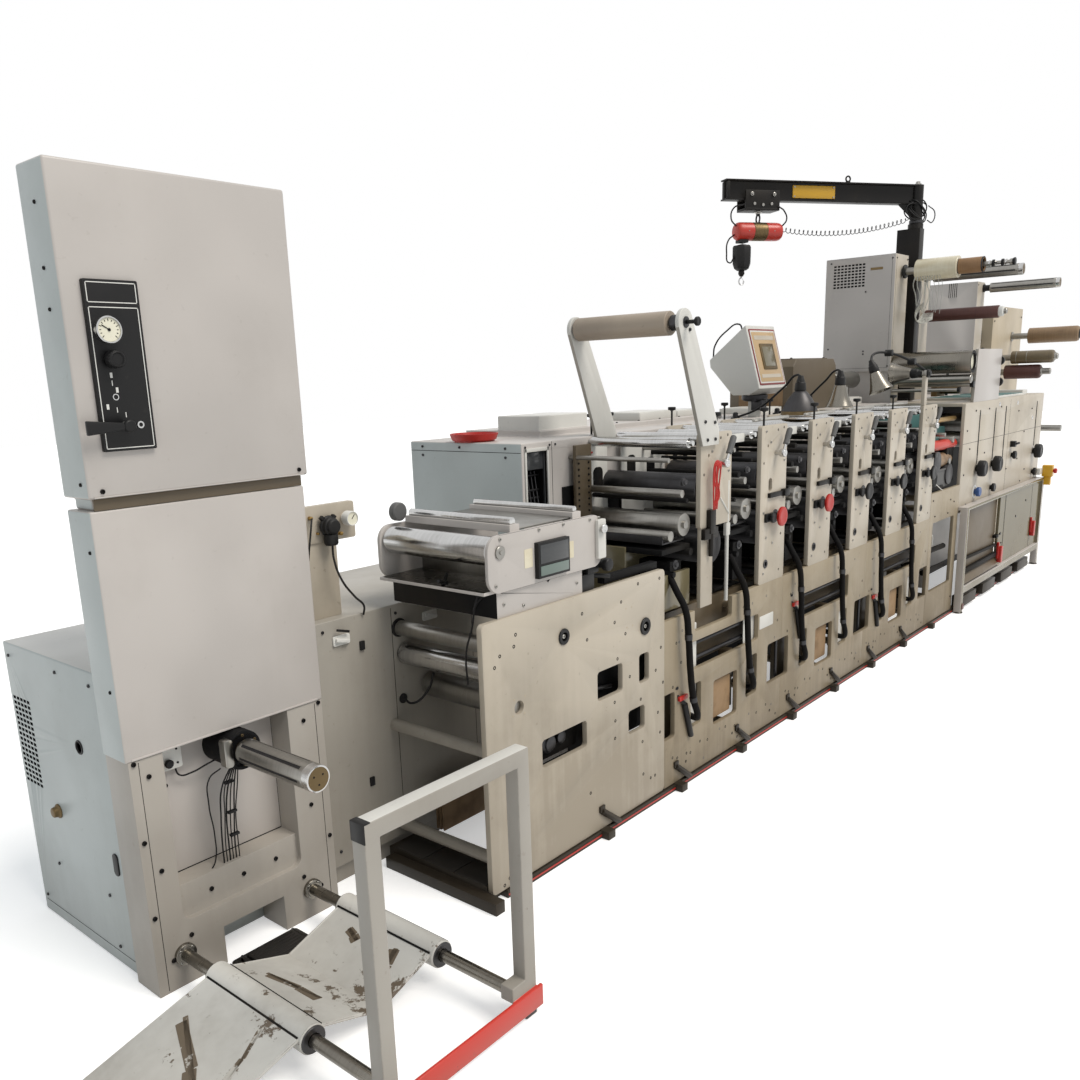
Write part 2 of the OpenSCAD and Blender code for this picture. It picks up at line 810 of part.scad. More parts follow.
// Tube swept along points; side is a direction that the path never follows
function unit(v) = v / norm(v);
function ring(p, t, side, r, n) = let(a = unit(cross(t, side)), b = cross(a, t))
    [for (k = [0 : n - 1]) p + r * (cos(360 * k / n) * a + sin(360 * k / n) * b)];
module tube(path, r, side, n = 8) {
    m = len(path);
    dirs = [for (i = [0 : m - 1]) unit(path[min(i + 1, m - 1)] - path[max(i - 1, 0)])];
    points = [for (i = [0 : m - 1]) each ring(path[i], dirs[i], side, r, n)];
    walls = [for (i = [0 : m - 2], k = [0 : n - 1])
        [i * n + k, i * n + (k + 1) % n, (i + 1) * n + (k + 1) % n, (i + 1) * n + k]];
    first = [for (k = [n - 1 : -1 : 0]) k];
    last = [for (k = [0 : n - 1]) (m - 1) * n + k];
    polyhedron(points, concat(walls, [first, last]), convexity = 4);
}

cord_steps = 20;
cord_sag = 50;

module hoist_cord() {
    z0 = beam_top - beam_h;
    a = [trolley_r - 165, 0, z0 - 165];
    b = [60, 0, mast_top + 60];
    color("Black") on_beam() tube([for (i = [0 : cord_steps]) let(t = i / cord_steps)
        a + (b - a) * t - [0, 0, cord_sag * 4 * t * (1 - t)]], cord_d / 2, [0, 0, 1]);
}

// ---- Small equipment ----------------------------------------------------
lamp_neck_d = 50;
bell_d = 134;
bell_h = 120;
lamp_y = 150;

// Bell shade with its socket: z is its mouth's height, lean tips its top backwards
module lamp(x, y, z, d, lean = 0) {
    translate([x, y, z]) rotate([-lean, 0, 0]) {
        cylinder(d1 = d, d2 = lamp_neck_d, h = bell_h);
        translate([0, 0, bell_h - eps]) cylinder(d = lamp_neck_d, h = 60);
    }
}

module lamps() {
    post_x = station_x(5) + 2;
    post_h = 195;
    color("Silver") placed() {
        lamp(station_x(2) + 186, lamp_y, station_top + 15, 172);
        lamp(station_x(3) + 158, lamp_y, station_top + 30, bell_d);
        lamp(station_x(4) + 181, lamp_y - 20, station_top + 92, bell_d, 22);
        // shade on the post's head, turned away from the operator
        lamp(post_x + 20, plate_t + bell_h + 58, station_top + 178, bell_d, -90);
        translate([post_x, 0, station_top]) cube([40, plate_t, post_h]);
    }
}

box_leg_h = 115;
box_w = 310;

// Operator's screen: a wedge whose face leans back, on a foot and a square leg
module control_box() {
    color("White") placed() translate([station_x(2) + 304, gear_y - 60, gear_top + box_leg_h]) {
        translate([0, 0, 30]) rotate([90, 0, 90]) linear_extrude(box_w)
            polygon([[0, 0], [85, 312], [285, 150], [280, 112], [150, -30], [60, -30]]);
        translate([box_w / 2 - 25, 80, -box_leg_h]) cube([50, 50, box_leg_h + eps]);
    }
}

drive_len = 600;
drive_h = 290;
drive_chamfer = 40;

module drive_box() {
    color("Tan") placed() translate([station_x(4) + 100, gear_y + 530, gear_top])
        rotate([90, 0, 0]) linear_extrude(400) polygon([[0, 0], [drive_len, 0],
            [drive_len, drive_h - drive_chamfer], [drive_len - drive_chamfer, drive_h],
            [drive_chamfer, drive_h], [0, drive_h - drive_chamfer]]);
}

hose_d = 28;

// Hose from the print station over the base frame and back in at a window
module ink_hose(x) {
    tube([[x, 45, 860], [x, 10, 800], [x + 6, -26, 730], [x + 14, -36, 620], [x + 30, -36, 480],
        [x + 55, -36, 360], [x + 90, -34, 285], [x + 118, -8, 262], [x + 134, 40, 262], [x + 140, 90, 270]],
        hose_d / 2, [1, 0, 0]);
}

screw_top = station_top + 75;
knob_d = 36;
// The first station's screw stands beyond the tall arm's foot, and the last has the lamp post
function screw_x(i) = i == 0 ? arm_base_x + arm_w0 / 2 + knob_d / 2 + 5 : station_x(i) + 34;

module thumb_screw(x, y, z0) {
    translate([x, y, z0]) cylinder(d = 9, h = screw_top - z0);
    translate([x, y, screw_top - 16]) cylinder(d = knob_d, h = 16);
}

module thumb_screws() {
    color("Black") placed() {
        for (i = [0 : stations - 2]) thumb_screw(screw_x(i), plate_t / 2, station_top);
        for (i = [0 : stations - 1]) thumb_screw(station_x(i) + 170, gear_y + 60, gear_top);
    }
}

pedal_w = 225;
pedal_d = 190;

// Foot pedal on the floor in front of the tower's notch, under the cradle's low middle
module floor_pedal() {
    color("Black") placed() translate([cradle_mid + 18 - pedal_w / 2, tower_y - pedal_d - 18, 0]) {
        cube([pedal_w, pedal_d, 10]);
        translate([32, 35, 10 - eps]) cube([pedal_w - 64, pedal_d - 70, 24 + eps]);
    }
}

module ink_hoses() {
    color("Black") placed() for (u = [0 : base_units - 1], x = [100, 570])
        ink_hose(base_x + u * unit_len + x);
}

unwind_frame();
unwind_lower_cover();
unwind_upper_cover();
control_panel();
panel_lever();
unwind_shaft();
side_cabinet();
guide_rods();
roll_cradle();
handle_frame();
gear_side_panel();
air_regulators();
gear_housing();
infeed_plate();
floor_rail();
infeed_roller_1();
infeed_roller_2();
web_guide();
guide_roller();
idler_arms();
arm_roller();
base_frame_1();
base_frame_2();
base_frame_3();
station_plates();
pressure_lever_1();
pressure_lever_2();
pressure_lever_3();
pressure_lever_4();
pressure_lever_5();
pressure_lever_6();
print_rollers();
top_idlers();
die_frame();
finishing_panel();
panel_stand();
chill_roller();
roller_bracket();
rewind_cabinets();
rewind_tower();
rewind_shaft_1();
rewind_shaft_2();
rewind_shaft_3();
waste_roller();
lower_roller();
tower_shaft_1();
tower_shaft_2();
tower_shaft_3();
jib_mast();
jib_beam();
hoist();
hoist_cord();
lamps();
control_box();
drive_box();
ink_hoses();
thumb_screws();
floor_pedal();
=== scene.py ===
"""Looks of a flexographic label press: its finishes, fittings, cords and the stage it stands on."""
import json
import math

import bpy
from mathutils import Matrix, Vector

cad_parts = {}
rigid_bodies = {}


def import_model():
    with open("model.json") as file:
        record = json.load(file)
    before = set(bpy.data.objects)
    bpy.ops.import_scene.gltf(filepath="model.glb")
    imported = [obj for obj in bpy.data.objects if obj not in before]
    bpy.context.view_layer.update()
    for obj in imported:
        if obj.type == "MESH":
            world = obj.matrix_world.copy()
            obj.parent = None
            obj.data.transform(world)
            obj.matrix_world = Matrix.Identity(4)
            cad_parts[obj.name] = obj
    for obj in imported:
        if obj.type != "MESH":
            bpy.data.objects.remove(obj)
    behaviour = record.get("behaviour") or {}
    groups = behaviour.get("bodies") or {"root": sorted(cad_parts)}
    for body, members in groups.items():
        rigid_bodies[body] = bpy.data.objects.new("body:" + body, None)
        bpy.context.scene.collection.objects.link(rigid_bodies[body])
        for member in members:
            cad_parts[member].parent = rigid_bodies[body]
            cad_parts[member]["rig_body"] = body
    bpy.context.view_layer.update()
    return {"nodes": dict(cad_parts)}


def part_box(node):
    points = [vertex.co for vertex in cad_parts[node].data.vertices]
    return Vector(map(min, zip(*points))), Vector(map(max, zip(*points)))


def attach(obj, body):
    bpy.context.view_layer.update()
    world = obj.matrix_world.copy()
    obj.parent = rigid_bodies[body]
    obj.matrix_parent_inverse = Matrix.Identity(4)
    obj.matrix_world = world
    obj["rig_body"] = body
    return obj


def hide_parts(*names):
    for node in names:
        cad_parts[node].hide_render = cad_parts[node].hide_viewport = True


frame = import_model()

bl_info = {
    "name": "Label press looks",
    "version": (1, 0, 0),
    "blender": (4, 5, 0),
    "location": "View3D > Sidebar > Press",
    "description": "Builds the visible pieces of a narrow web label press on its CAD frame",
    "category": "Object",
}

# Places are written in press millimetres: X along the press from the unwind end, Y from the
# operator plates to the gear side, Z up from the floor.
MM = 0.001
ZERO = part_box("infeed_plate")[0] - Vector((0.905, 0.0, 0.030))
PITCH = 495
STATION_X = [2149 + PITCH * i for i in range(6)]
FRONT = (0, -1, 0)
BACK = (0, 1, 0)
LEFT = (-1, 0, 0)
RIGHT = (1, 0, 0)
UP = (0, 0, 1)
DOWN = (0, 0, -1)
# Centres (X and Z) of the turning parts, and sizes that repeat
HUB = (322, 625)
LOADER_RODS = ((94, 95), (524, 95))
GUIDE_ROLLER = (997, 1108)
ARM_HEAD = (2007, 1775)
CHILL_ROLLER = (5470, 1610)
LEVER_HEIGHT = 1257
SHAFT_DIAMETER = 73
BASE_X = [1895 + 2 * PITCH * k for k in range(3)]
SHARP_ANGLE = math.radians(35)
SMOOTH_ANGLE = math.radians(32)
FINISH = {}


def at(x, y, z):
    """A place in press millimetres as a point of the frame, in metres."""
    return ZERO + Vector((x, y, z)) * MM


def on(centre, y):
    """The place at depth y on a line that runs across the press through a centre."""
    return (centre[0], y, centre[1])


def near(place, centre, distance):
    """Whether a place lies within a distance of a line that runs across the press."""
    return math.hypot(place.x - centre[0], place.z - centre[1]) < distance


def bolt_circle(centre, y, radius, angles):
    """Places around a centre, at angles in degrees."""
    turns = [math.radians(angle) for angle in angles]
    return [(centre[0] + radius * math.cos(a), y, centre[1] + radius * math.sin(a)) for a in turns]


def span(node):
    """Lowest and highest corner of a CAD node, in press millimetres."""
    low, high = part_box(node)
    return (low - ZERO) / MM, (high - ZERO) / MM


def tone(red, green, blue):
    """A paint-card colour, 0 to 255, as the linear values that shaders use."""
    return tuple((c / 255 / 12.92) if c <= 10 else ((c / 255 + 0.055) / 1.055) ** 2.4
                 for c in (red, green, blue))


# ---- Shaping ----


def only(obj):
    """Selects this object alone and makes it active."""
    bpy.ops.object.select_all(action="DESELECT")
    obj.select_set(True)
    bpy.context.view_layer.objects.active = obj
    return obj


def settle(obj):
    """Puts an object's place, turn and scale into its mesh."""
    only(obj)
    bpy.ops.object.transform_apply(location=True, rotation=True, scale=True)
    return obj


def block(x0, y0, z0, x1, y1, z1):
    """Box between two corners; its edges are rounded when the piece is finished."""
    low, high = at(x0, y0, z0), at(x1, y1, z1)
    bpy.ops.mesh.primitive_cube_add(size=1, location=(low + high) / 2)
    bpy.context.object.scale = high - low
    return bpy.context.object


def rod(start, end, diameter, sides=24):
    """Round bar between two places."""
    a, b = at(*start), at(*end)
    heading = (b - a).to_track_quat("Z", "Y").to_euler()
    bpy.ops.mesh.primitive_cylinder_add(vertices=sides, radius=diameter / 2 * MM, depth=(b - a).length,
                                        location=(a + b) / 2, rotation=heading)
    return bpy.context.object


def turned(start, way, profile, sides=32):
    """Lathe-turned part: profile lists (distance along, diameter) from the start."""
    way = Vector(way).normalized()
    base = at(*start)
    heading = way.to_track_quat("Z", "Y").to_euler()
    along, diameter = profile[0]
    bpy.ops.mesh.primitive_circle_add(vertices=sides, radius=diameter / 2 * MM, fill_type="NGON",
                                      location=base + way * along * MM, rotation=heading)
    bpy.ops.object.mode_set(mode="EDIT")
    bpy.ops.mesh.select_all(action="SELECT")
    for next_along, next_diameter in profile[1:]:
        bpy.ops.mesh.extrude_region_move(TRANSFORM_OT_translate={"value": way * (next_along - along) * MM})
        ratio = next_diameter / diameter
        bpy.ops.transform.resize(value=(ratio, ratio, ratio), center_override=base + way * next_along * MM)
        along, diameter = next_along, next_diameter
    bpy.ops.mesh.select_all(action="SELECT")
    bpy.ops.mesh.normals_make_consistent(inside=False)
    bpy.ops.object.mode_set(mode="OBJECT")
    return bpy.context.object


def plate(x0, y0, z0, x1, y1, z1, radius, axis="Y"):
    """Plate whose corner edges along one axis are rounded."""
    obj = settle(block(x0, y0, z0, x1, y1, z1))
    k = "XYZ".index(axis)
    bpy.ops.object.mode_set(mode="EDIT")
    bpy.ops.mesh.select_mode(type="EDGE")
    bpy.ops.mesh.select_all(action="DESELECT")
    bpy.ops.object.mode_set(mode="OBJECT")
    points = obj.data.vertices
    for edge in obj.data.edges:
        run = points[edge.vertices[1]].co - points[edge.vertices[0]].co
        edge.select = abs(run[k]) > 0.9 * run.length
    bpy.ops.object.mode_set(mode="EDIT")
    bpy.ops.mesh.bevel(offset=radius * MM, segments=5, affect="EDGES")
    bpy.ops.object.mode_set(mode="OBJECT")
    return obj


def wire(points, diameter, closed=False, sides=2):
    """Round wire or hose in smooth bends through its points, made a mesh."""
    curve = bpy.data.curves.new("wire", "CURVE")
    curve.dimensions = "3D"
    curve.resolution_u = 6
    curve.bevel_depth = diameter / 2 * MM
    curve.bevel_resolution = sides
    curve.use_fill_caps = not closed
    spline = curve.splines.new("BEZIER")
    spline.bezier_points.add(len(points) - 1)
    spline.use_cyclic_u = closed
    for knot, point in zip(spline.bezier_points, points):
        knot.co = at(*point)
        knot.handle_left_type = knot.handle_right_type = "AUTO"
    obj = bpy.data.objects.new("wire", curve)
    bpy.context.scene.collection.objects.link(obj)
    only(obj)
    bpy.ops.object.convert(target="MESH")
    return bpy.context.object


def turn(obj, angle, axis, centre):
    """Turns a part about a press place, in degrees."""
    settle(obj)
    pivot = Matrix.Translation(at(*centre))
    obj.data.transform(pivot @ Matrix.Rotation(math.radians(angle), 4, axis) @ pivot.inverted())
    return obj


def repeat(obj, places):
    """Copies a part made at the press origin to each place; every copy has its own mesh."""
    settle(obj)
    made = []
    for place in places:
        copy = obj.copy()
        copy.data = obj.data.copy()
        copy.data.transform(Matrix.Translation(Vector(place) * MM))
        bpy.context.scene.collection.objects.link(copy)
        made.append(copy)
    bpy.data.objects.remove(obj)
    return made


def flat_list(parts):
    """Parts and lists of parts as one list."""
    found = []
    for part in parts:
        found.extend(flat_list(part) if isinstance(part, (list, tuple)) else [part])
    return found


def joined(parts):
    """All parts as one object, with their places in its mesh."""
    parts = flat_list(parts)
    bpy.ops.object.select_all(action="DESELECT")
    for part in parts:
        part.select_set(True)
    bpy.context.view_layer.objects.active = parts[0]
    if len(parts) > 1:
        bpy.ops.object.join()
    return settle(bpy.context.object)


def cut(obj, cutters):
    """Takes the cutters' shapes out of a part."""
    tool = joined(cutters)
    settle(obj)
    modifier = obj.modifiers.new("Cut", "BOOLEAN")
    modifier.object = tool
    modifier.operation = "DIFFERENCE"
    modifier.solver = "EXACT"
    bpy.ops.object.modifier_apply(modifier="Cut")
    bpy.data.objects.remove(tool)
    return obj


def round_edges(obj, width, segments=2):
    """Rounds every sharp edge of a part by a width in millimetres."""
    only(obj)
    modifier = obj.modifiers.new("Edges", "BEVEL")
    modifier.width = width * MM
    modifier.segments = segments
    modifier.limit_method = "ANGLE"
    modifier.angle_limit = SHARP_ANGLE
    bpy.ops.object.modifier_apply(modifier="Edges")
    return obj


def clad(obj, name, finish, body, replaces):
    """Names a shaped piece, gives it its finish and ties it to the frame."""
    only(obj)
    obj.name = obj.data.name = name
    obj.data.materials.clear()
    obj.data.materials.append(FINISH[finish])
    bpy.ops.object.shade_smooth_by_angle(angle=SMOOTH_ANGLE)
    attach(obj, body)
    if replaces:
        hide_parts(*replaces)
    return obj


def piece(name, parts, finish, soften=0.8, body="frame", replaces=()):
    """Joins parts into one finished piece with softened edges."""
    obj = joined(parts)
    if soften:
        round_edges(obj, soften)
    return clad(obj, name, finish, body, replaces)


def softened(node, finish, width=1.5, cutters=(), segments=2):
    """Copy of a CAD node with rounded edges and any small openings, standing for the node."""
    source = frame["nodes"][node]
    body = source["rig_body"]
    obj = bpy.data.objects.new(node + "_skin", source.data.copy())
    bpy.context.scene.collection.objects.link(obj)
    only(obj)
    bpy.ops.object.mode_set(mode="EDIT")
    bpy.ops.mesh.select_all(action="SELECT")
    bpy.ops.mesh.remove_doubles(threshold=1e-5)
    bpy.ops.mesh.dissolve_limited(angle_limit=math.radians(0.5))
    bpy.ops.object.mode_set(mode="OBJECT")
    round_edges(obj, width, segments)
    if cutters:
        cut(obj, cutters)
    return clad(obj, node + "_skin", finish, body, (node,))


def touch_up(obj, finish, chosen):
    """Gives a second finish to the faces that chosen(centre, normal) picks, in press millimetres."""
    obj.data.materials.append(FINISH[finish])
    last = len(obj.data.materials) - 1
    for face in obj.data.polygons:
        if chosen((face.center - ZERO) / MM, face.normal):
            face.material_index = last
    return obj


def bolt_heads(places, way, diameter=13, height=5):
    """Socket head screws on a face."""
    d, h = diameter, height
    head = turned((0, 0, 0), way, [(-1, d), (h * 0.75, d), (h, d * 0.84), (h, d * 0.5),
            (h * 0.35, d * 0.45)], 16)
    return repeat(head, places)


def washers(places, way, outer, inner, height=3):
    """Rings around holes and pins."""
    ring = turned((0, 0, 0), way, [(-1, outer), (height * 0.6, outer), (height, outer * 0.95),
            (height, inner), (-1, inner * 0.98)], 32)
    return repeat(ring, places)


def knob(start, way, diameter, height, sides=32):
    """Round hand knob with a waist, a crown and a dished top."""
    d, h = diameter, height
    return turned(start, way, [(0, d * 0.55), (h * 0.25, d * 0.55), (h * 0.35, d * 0.92), (h * 0.45, d),
                               (h * 0.85, d), (h * 0.97, d * 0.9), (h,
                                       d * 0.7), (h * 0.94, d * 0.5)], sides)


def roller(pin, ends, diameter, edge=3, drop=4):
    """Outline of a roller on its pins; ends lists where the body starts and stops and the far pin ends."""
    start, stop, last = ends
    return [(0, pin), (start, pin), (start, diameter - drop), (start + edge, diameter),
            (stop - edge, diameter), (stop, diameter - drop), (stop, pin), (last, pin)]


def thumb_screw(length):
    """Outline of a thumb screw on a stem of this length."""
    head = ((0, 12), (3, 20), (4, 34), (7, 36), (16, 36), (18, 32), (17, 20))
    return [(0, 9), (length, 9)] + [(length + up, diameter) for up, diameter in head]


# ---- Finishes ----


class Wiring:
    """A node tree with short calls to add and link its nodes."""

    def __init__(self, tree):
        self.tree = tree

    def add(self, kind, settings=None, **inputs):
        node = self.tree.nodes.new(kind)
        for key, value in (settings or {}).items():
            setattr(node, key, value)
        for key, value in inputs.items():
            socket = node.inputs[key.replace("_", " ")]
            if isinstance(value, bpy.types.NodeSocket):
                self.tree.links.new(value, socket)
            else:
                socket.default_value = value
        return node

    def link(self, value, socket):
        self.tree.links.new(value, socket)

    def place(self):
        return self.add("ShaderNodeTexCoord").outputs["Object"]

    def noise(self, place, scale, detail, **more):
        return self.add("ShaderNodeTexNoise", Vector=place, Scale=scale, Detail=detail,
                        **more).outputs["Fac"]

    def math(self, operation, a, b=0.0, clamp=False):
        node = self.tree.nodes.new("ShaderNodeMath")
        node.operation = operation
        node.use_clamp = clamp
        for k, value in enumerate((a, b)):
            if isinstance(value, bpy.types.NodeSocket):
                self.tree.links.new(value, node.inputs[k])
            else:
                node.inputs[k].default_value = value
        return node.outputs[0]

    def ramp(self, value, low, high, to_low=0.0, to_high=1.0):
        node = self.tree.nodes.new("ShaderNodeMapRange")
        node.interpolation_type = "SMOOTHSTEP"
        self.tree.links.new(value, node.inputs["Value"])
        for key, number in (("From Min", low), ("From Max", high), ("To Min", to_low), ("To Max", to_high)):
            node.inputs[key].default_value = number
        return node.outputs["Result"]

    def mix(self, factor, a, b):
        node = self.tree.nodes.new("ShaderNodeMix")
        node.data_type = "RGBA"
        for key, value in ((0, factor), (6, a), (7, b)):
            if isinstance(value, bpy.types.NodeSocket):
                self.tree.links.new(value, node.inputs[key])
            else:
                node.inputs[key].default_value = (*value, 1.0) if key else value
        return node.outputs[2]


def effect(name, inputs, outputs):
    """Empty shader group with named inputs and outputs."""
    group = bpy.data.node_groups.new(name, "ShaderNodeTree")
    for label, default in inputs:
        socket = group.interface.new_socket(name=label, in_out="INPUT", socket_type="NodeSocketFloat")
        socket.default_value = default
    for label in outputs:
        group.interface.new_socket(name=label, in_out="OUTPUT", socket_type="NodeSocketFloat")
    w = Wiring(group)
    return w, w.add("NodeGroupInput").outputs, w.add("NodeGroupOutput").inputs


def stretched(w, x, y, z):
    """Object coordinates scaled per axis."""
    place = w.place()
    return w.add("ShaderNodeMapping", Vector=place, Scale=(x, y, z)).outputs["Vector"]


def make_effects():
    """Shared surface effects: shop grime with a darkening towards the floor, paint skin, chips, edge wear
    and turning marks.
    """
    w, given, out = effect("Grime and floor darkening", [("Amount", 0.3), ("Floor Height", 0.25)], ["Mask", "Sheen Loss"])
    place = w.place()
    cloud = w.noise(place, 1.7, 6.0, Roughness=0.62)
    runs = w.noise(stretched(w, 34, 34, 1.3), 1.0, 4.0)
    specks = w.noise(place, 46.0, 3.0)
    # darker towards the floor: strongest at the floor, gone at Floor Height
    height = w.add("ShaderNodeSeparateXYZ", Vector=place).outputs["Z"]
    low = w.math("SUBTRACT", 1.0, w.math("DIVIDE", height, given["Floor Height"]), clamp=True)
    patches = w.math("MULTIPLY", w.ramp(cloud, 0.44, 0.74, 0.0, 0.6), w.ramp(runs, 0.3, 0.75, 0.7, 1.0))
    floor = w.math("MULTIPLY", low, w.ramp(runs, 0.25, 0.7, 0.8, 1.0))
    dots = w.ramp(specks, 0.68, 0.74)
    total = w.math("ADD", w.math("ADD", patches, floor), w.math("MULTIPLY", dots, 0.35), clamp=True)
    w.link(w.math("MULTIPLY", total, given["Amount"], clamp=True), out["Mask"])
    w.link(w.ramp(cloud, 0.3, 0.7), out["Sheen Loss"])

    w, given, out = effect("Paint skin", [("Scale", 420.0)], ["Height", "Shade"])
    place = w.place()
    peel = w.noise(place, given["Scale"], 2.0)
    dents = w.noise(place, 3.1, 1.0)
    w.link(w.math("ADD", w.math("MULTIPLY", peel, 0.12), dents), out["Height"])
    w.link(w.ramp(dents, 0.3, 0.7, 0.94, 1.04), out["Shade"])

    w, given, out = effect("Chips", [("Amount", 0.3), ("Scale", 9.0)], ["Mask"])
    place = w.place()
    large = w.noise(place, given["Scale"], 8.0, Roughness=0.72)
    where = w.noise(place, 2.3, 2.0)
    sum_ = w.math("ADD", w.math("MULTIPLY", large, 0.72), w.math("MULTIPLY", where, 0.28))
    level = w.math("SUBTRACT", 0.68, w.math("MULTIPLY", given["Amount"], 0.17))
    w.link(w.math("MULTIPLY", w.math("SUBTRACT", sum_, level), 60.0, clamp=True), out["Mask"])

    w, given, out = effect("Edge wear", [("Radius", 0.004), ("Amount", 0.5)], ["Mask"])
    geometry = w.add("ShaderNodeNewGeometry").outputs["Normal"]
    soft = w.add("ShaderNodeBevel", {"samples": 4}, Radius=given["Radius"]).outputs["Normal"]
    product = w.add("ShaderNodeVectorMath", {"operation": "DOT_PRODUCT"}).outputs["Value"]
    w.link(geometry, product.node.inputs[0])
    w.link(soft, product.node.inputs[1])
    edge = w.ramp(w.math("SUBTRACT", 1.0, product), 0.01, 0.12)
    place = w.place()
    broken = w.noise(place, 38.0, 5.0)
    worn = w.math("MULTIPLY", edge, w.ramp(broken, 0.46, 0.6))
    w.link(w.math("MULTIPLY", worn, given["Amount"], clamp=True), out["Mask"])

    w, given, out = effect("Turning marks", [("Fineness", 700.0), ("Smears", 0.5)],
            ["Shade", "Gloss Loss", "Height"])
    rings = w.noise(stretched(w, 3, 160, 3), 1.0, 5.0)
    place = w.place()
    smear = w.noise(place, 8.0, 5.0)
    fine = w.noise(stretched(w, 8, 900, 8), 1.0, 1.0)
    dull = w.math("MULTIPLY", w.ramp(smear, 0.35, 0.7), given["Smears"])
    w.link(w.math("ADD", w.ramp(rings, 0.3, 0.7, 0.92, 1.02), w.math("MULTIPLY", dull, -0.18)),
           out["Shade"])
    w.link(w.math("ADD", w.math("MULTIPLY", rings, 0.10), w.math("MULTIPLY", dull, 0.16)),
           out["Gloss Loss"])
    w.link(w.math("MULTIPLY", fine, w.math("DIVIDE", given["Fineness"], 700.0)), out["Height"])


def place_effect(w, name, **inputs):
    """A shared effect placed in a material with its own values."""
    node = w.add("ShaderNodeGroup", {"node_tree": bpy.data.node_groups[name]}, **inputs)
    return node.outputs


def blank_finish(name, **settings):
    """Material with an empty tree, its shader and output, and constants on the shader's sockets."""
    material = bpy.data.materials.new(name)
    material.use_nodes = True
    material.node_tree.nodes.clear()
    w = Wiring(material.node_tree)
    shader = w.add("ShaderNodeBsdfPrincipled", **settings)
    w.add("ShaderNodeOutputMaterial", Surface=shader.outputs[0])
    FINISH[name] = material
    return w, shader.inputs


def bump(w, height, strength, distance, into):
    """Bump from a height value into a shader's normal."""
    node = w.add("ShaderNodeBump", Height=height, Strength=strength, Distance=distance)
    w.link(node.outputs["Normal"], into["Normal"])


def shaded(w, colour, amount):
    """A colour made lighter or darker by a value that changes over the surface."""
    grey = w.add("ShaderNodeCombineColor", Red=amount, Green=amount, Blue=amount).outputs["Color"]
    node = w.tree.nodes.new("ShaderNodeMix")
    node.data_type = "RGBA"
    node.blend_type = "MULTIPLY"
    node.inputs[0].default_value = 1.0
    node.inputs[6].default_value = (*colour, 1.0)
    w.link(grey, node.inputs[7])
    return node.outputs[2]


def enamel(name, colour, gloss=0.42, grime=0.3, floor=0.25, chips=0.0, wear=0.0, under=(0.05, 0.045, 0.04),
           sheen=0.5):
    """Sprayed enamel with dents, grime, a darkening towards the floor, worn edges and chips down to what
    lies under it.
    """
    w, shader = blank_finish(name, IOR=1.5, Specular_IOR_Level=sheen)
    skin = place_effect(w, "Paint skin", Scale=420.0)
    # grime scales the patches, the specks and the darkening towards the floor; floor sets how high that
    # darkening reaches
    grime_and_low_dark = place_effect(w, "Grime and floor darkening", Amount=grime, Floor_Height=floor)
    colours = w.mix(grime_and_low_dark["Mask"], shaded(w, colour, skin["Shade"]), tone(104, 92, 74))
    rough = w.math("ADD", w.math("MULTIPLY", grime_and_low_dark["Sheen Loss"], 0.14),
                   w.math("MULTIPLY", grime_and_low_dark["Mask"], 0.2))
    rough = w.math("ADD", rough, gloss - 0.07)
    for amount, kind, extra in ((wear, "Edge wear", {}), (chips, "Chips", {"Scale": 9.0})):
        if amount:
            mask = place_effect(w, kind, Amount=amount, **extra)["Mask"]
            colours = w.mix(mask, colours, under)
    w.link(colours, shader["Base Color"])
    w.link(rough, shader["Roughness"])
    bump(w, skin["Height"], 0.22, 0.0016, shader)


def bare_metal(name, colour, gloss, smears=0.5, marks=0.25, metallic=1.0):
    """Turned or drawn metal with rings, smears and fine marks."""
    w, shader = blank_finish(name, Metallic=metallic)
    marks_out = place_effect(w, "Turning marks", Fineness=700.0, Smears=smears)
    grime_and_low_dark = place_effect(w, "Grime and floor darkening", Amount=0.3 * smears, Floor_Height=0.1)
    colours = w.mix(grime_and_low_dark["Mask"], shaded(w, colour, marks_out["Shade"]), tone(84, 74, 62))
    w.link(colours, shader["Base Color"])
    w.link(w.math("ADD", marks_out["Gloss Loss"], gloss), shader["Roughness"])
    bump(w, marks_out["Height"], marks, 0.0004, shader)


def moulded(name, colour, gloss=0.5, grain=900.0, dust=0.25, sheen=0.5):
    """Moulded plastic or rubber with a fine grain and dust."""
    w, shader = blank_finish(name, IOR=1.46, Specular_IOR_Level=sheen)
    skin = place_effect(w, "Paint skin", Scale=grain)
    grime_and_low_dark = place_effect(w, "Grime and floor darkening", Amount=dust, Floor_Height=0.3)
    w.link(w.mix(grime_and_low_dark["Mask"], shaded(w, colour, skin["Shade"]), tone(88, 82, 74)), shader["Base Color"])
    w.link(w.math("ADD", w.math("MULTIPLY", grime_and_low_dark["Sheen Loss"], 0.2), gloss - 0.08), shader["Roughness"])
    bump(w, skin["Height"], 0.3, 0.0008, shader)


def wound(name, colour, dark, gloss, coat=0.0):
    """Paper, board or film wound on a core, with faint layer lines."""
    w, shader = blank_finish(name, Coat_Weight=coat, Coat_Roughness=0.15)
    layers = w.noise(stretched(w, 5, 420, 5), 1.0, 4.0)
    stains = w.noise(stretched(w, 14, 6, 14), 1.0, 6.0)
    shade = w.math("MULTIPLY", w.ramp(layers, 0.3, 0.7), 0.35)
    shade = w.math("ADD", shade, w.math("MULTIPLY", w.ramp(stains, 0.45, 0.75), 0.5), clamp=True)
    w.link(w.mix(shade, colour, dark), shader["Base Color"])
    w.link(w.ramp(stains, 0.3, 0.7, gloss - 0.06, gloss + 0.12), shader["Roughness"])
    bump(w, layers, 0.3, 0.0006, shader)


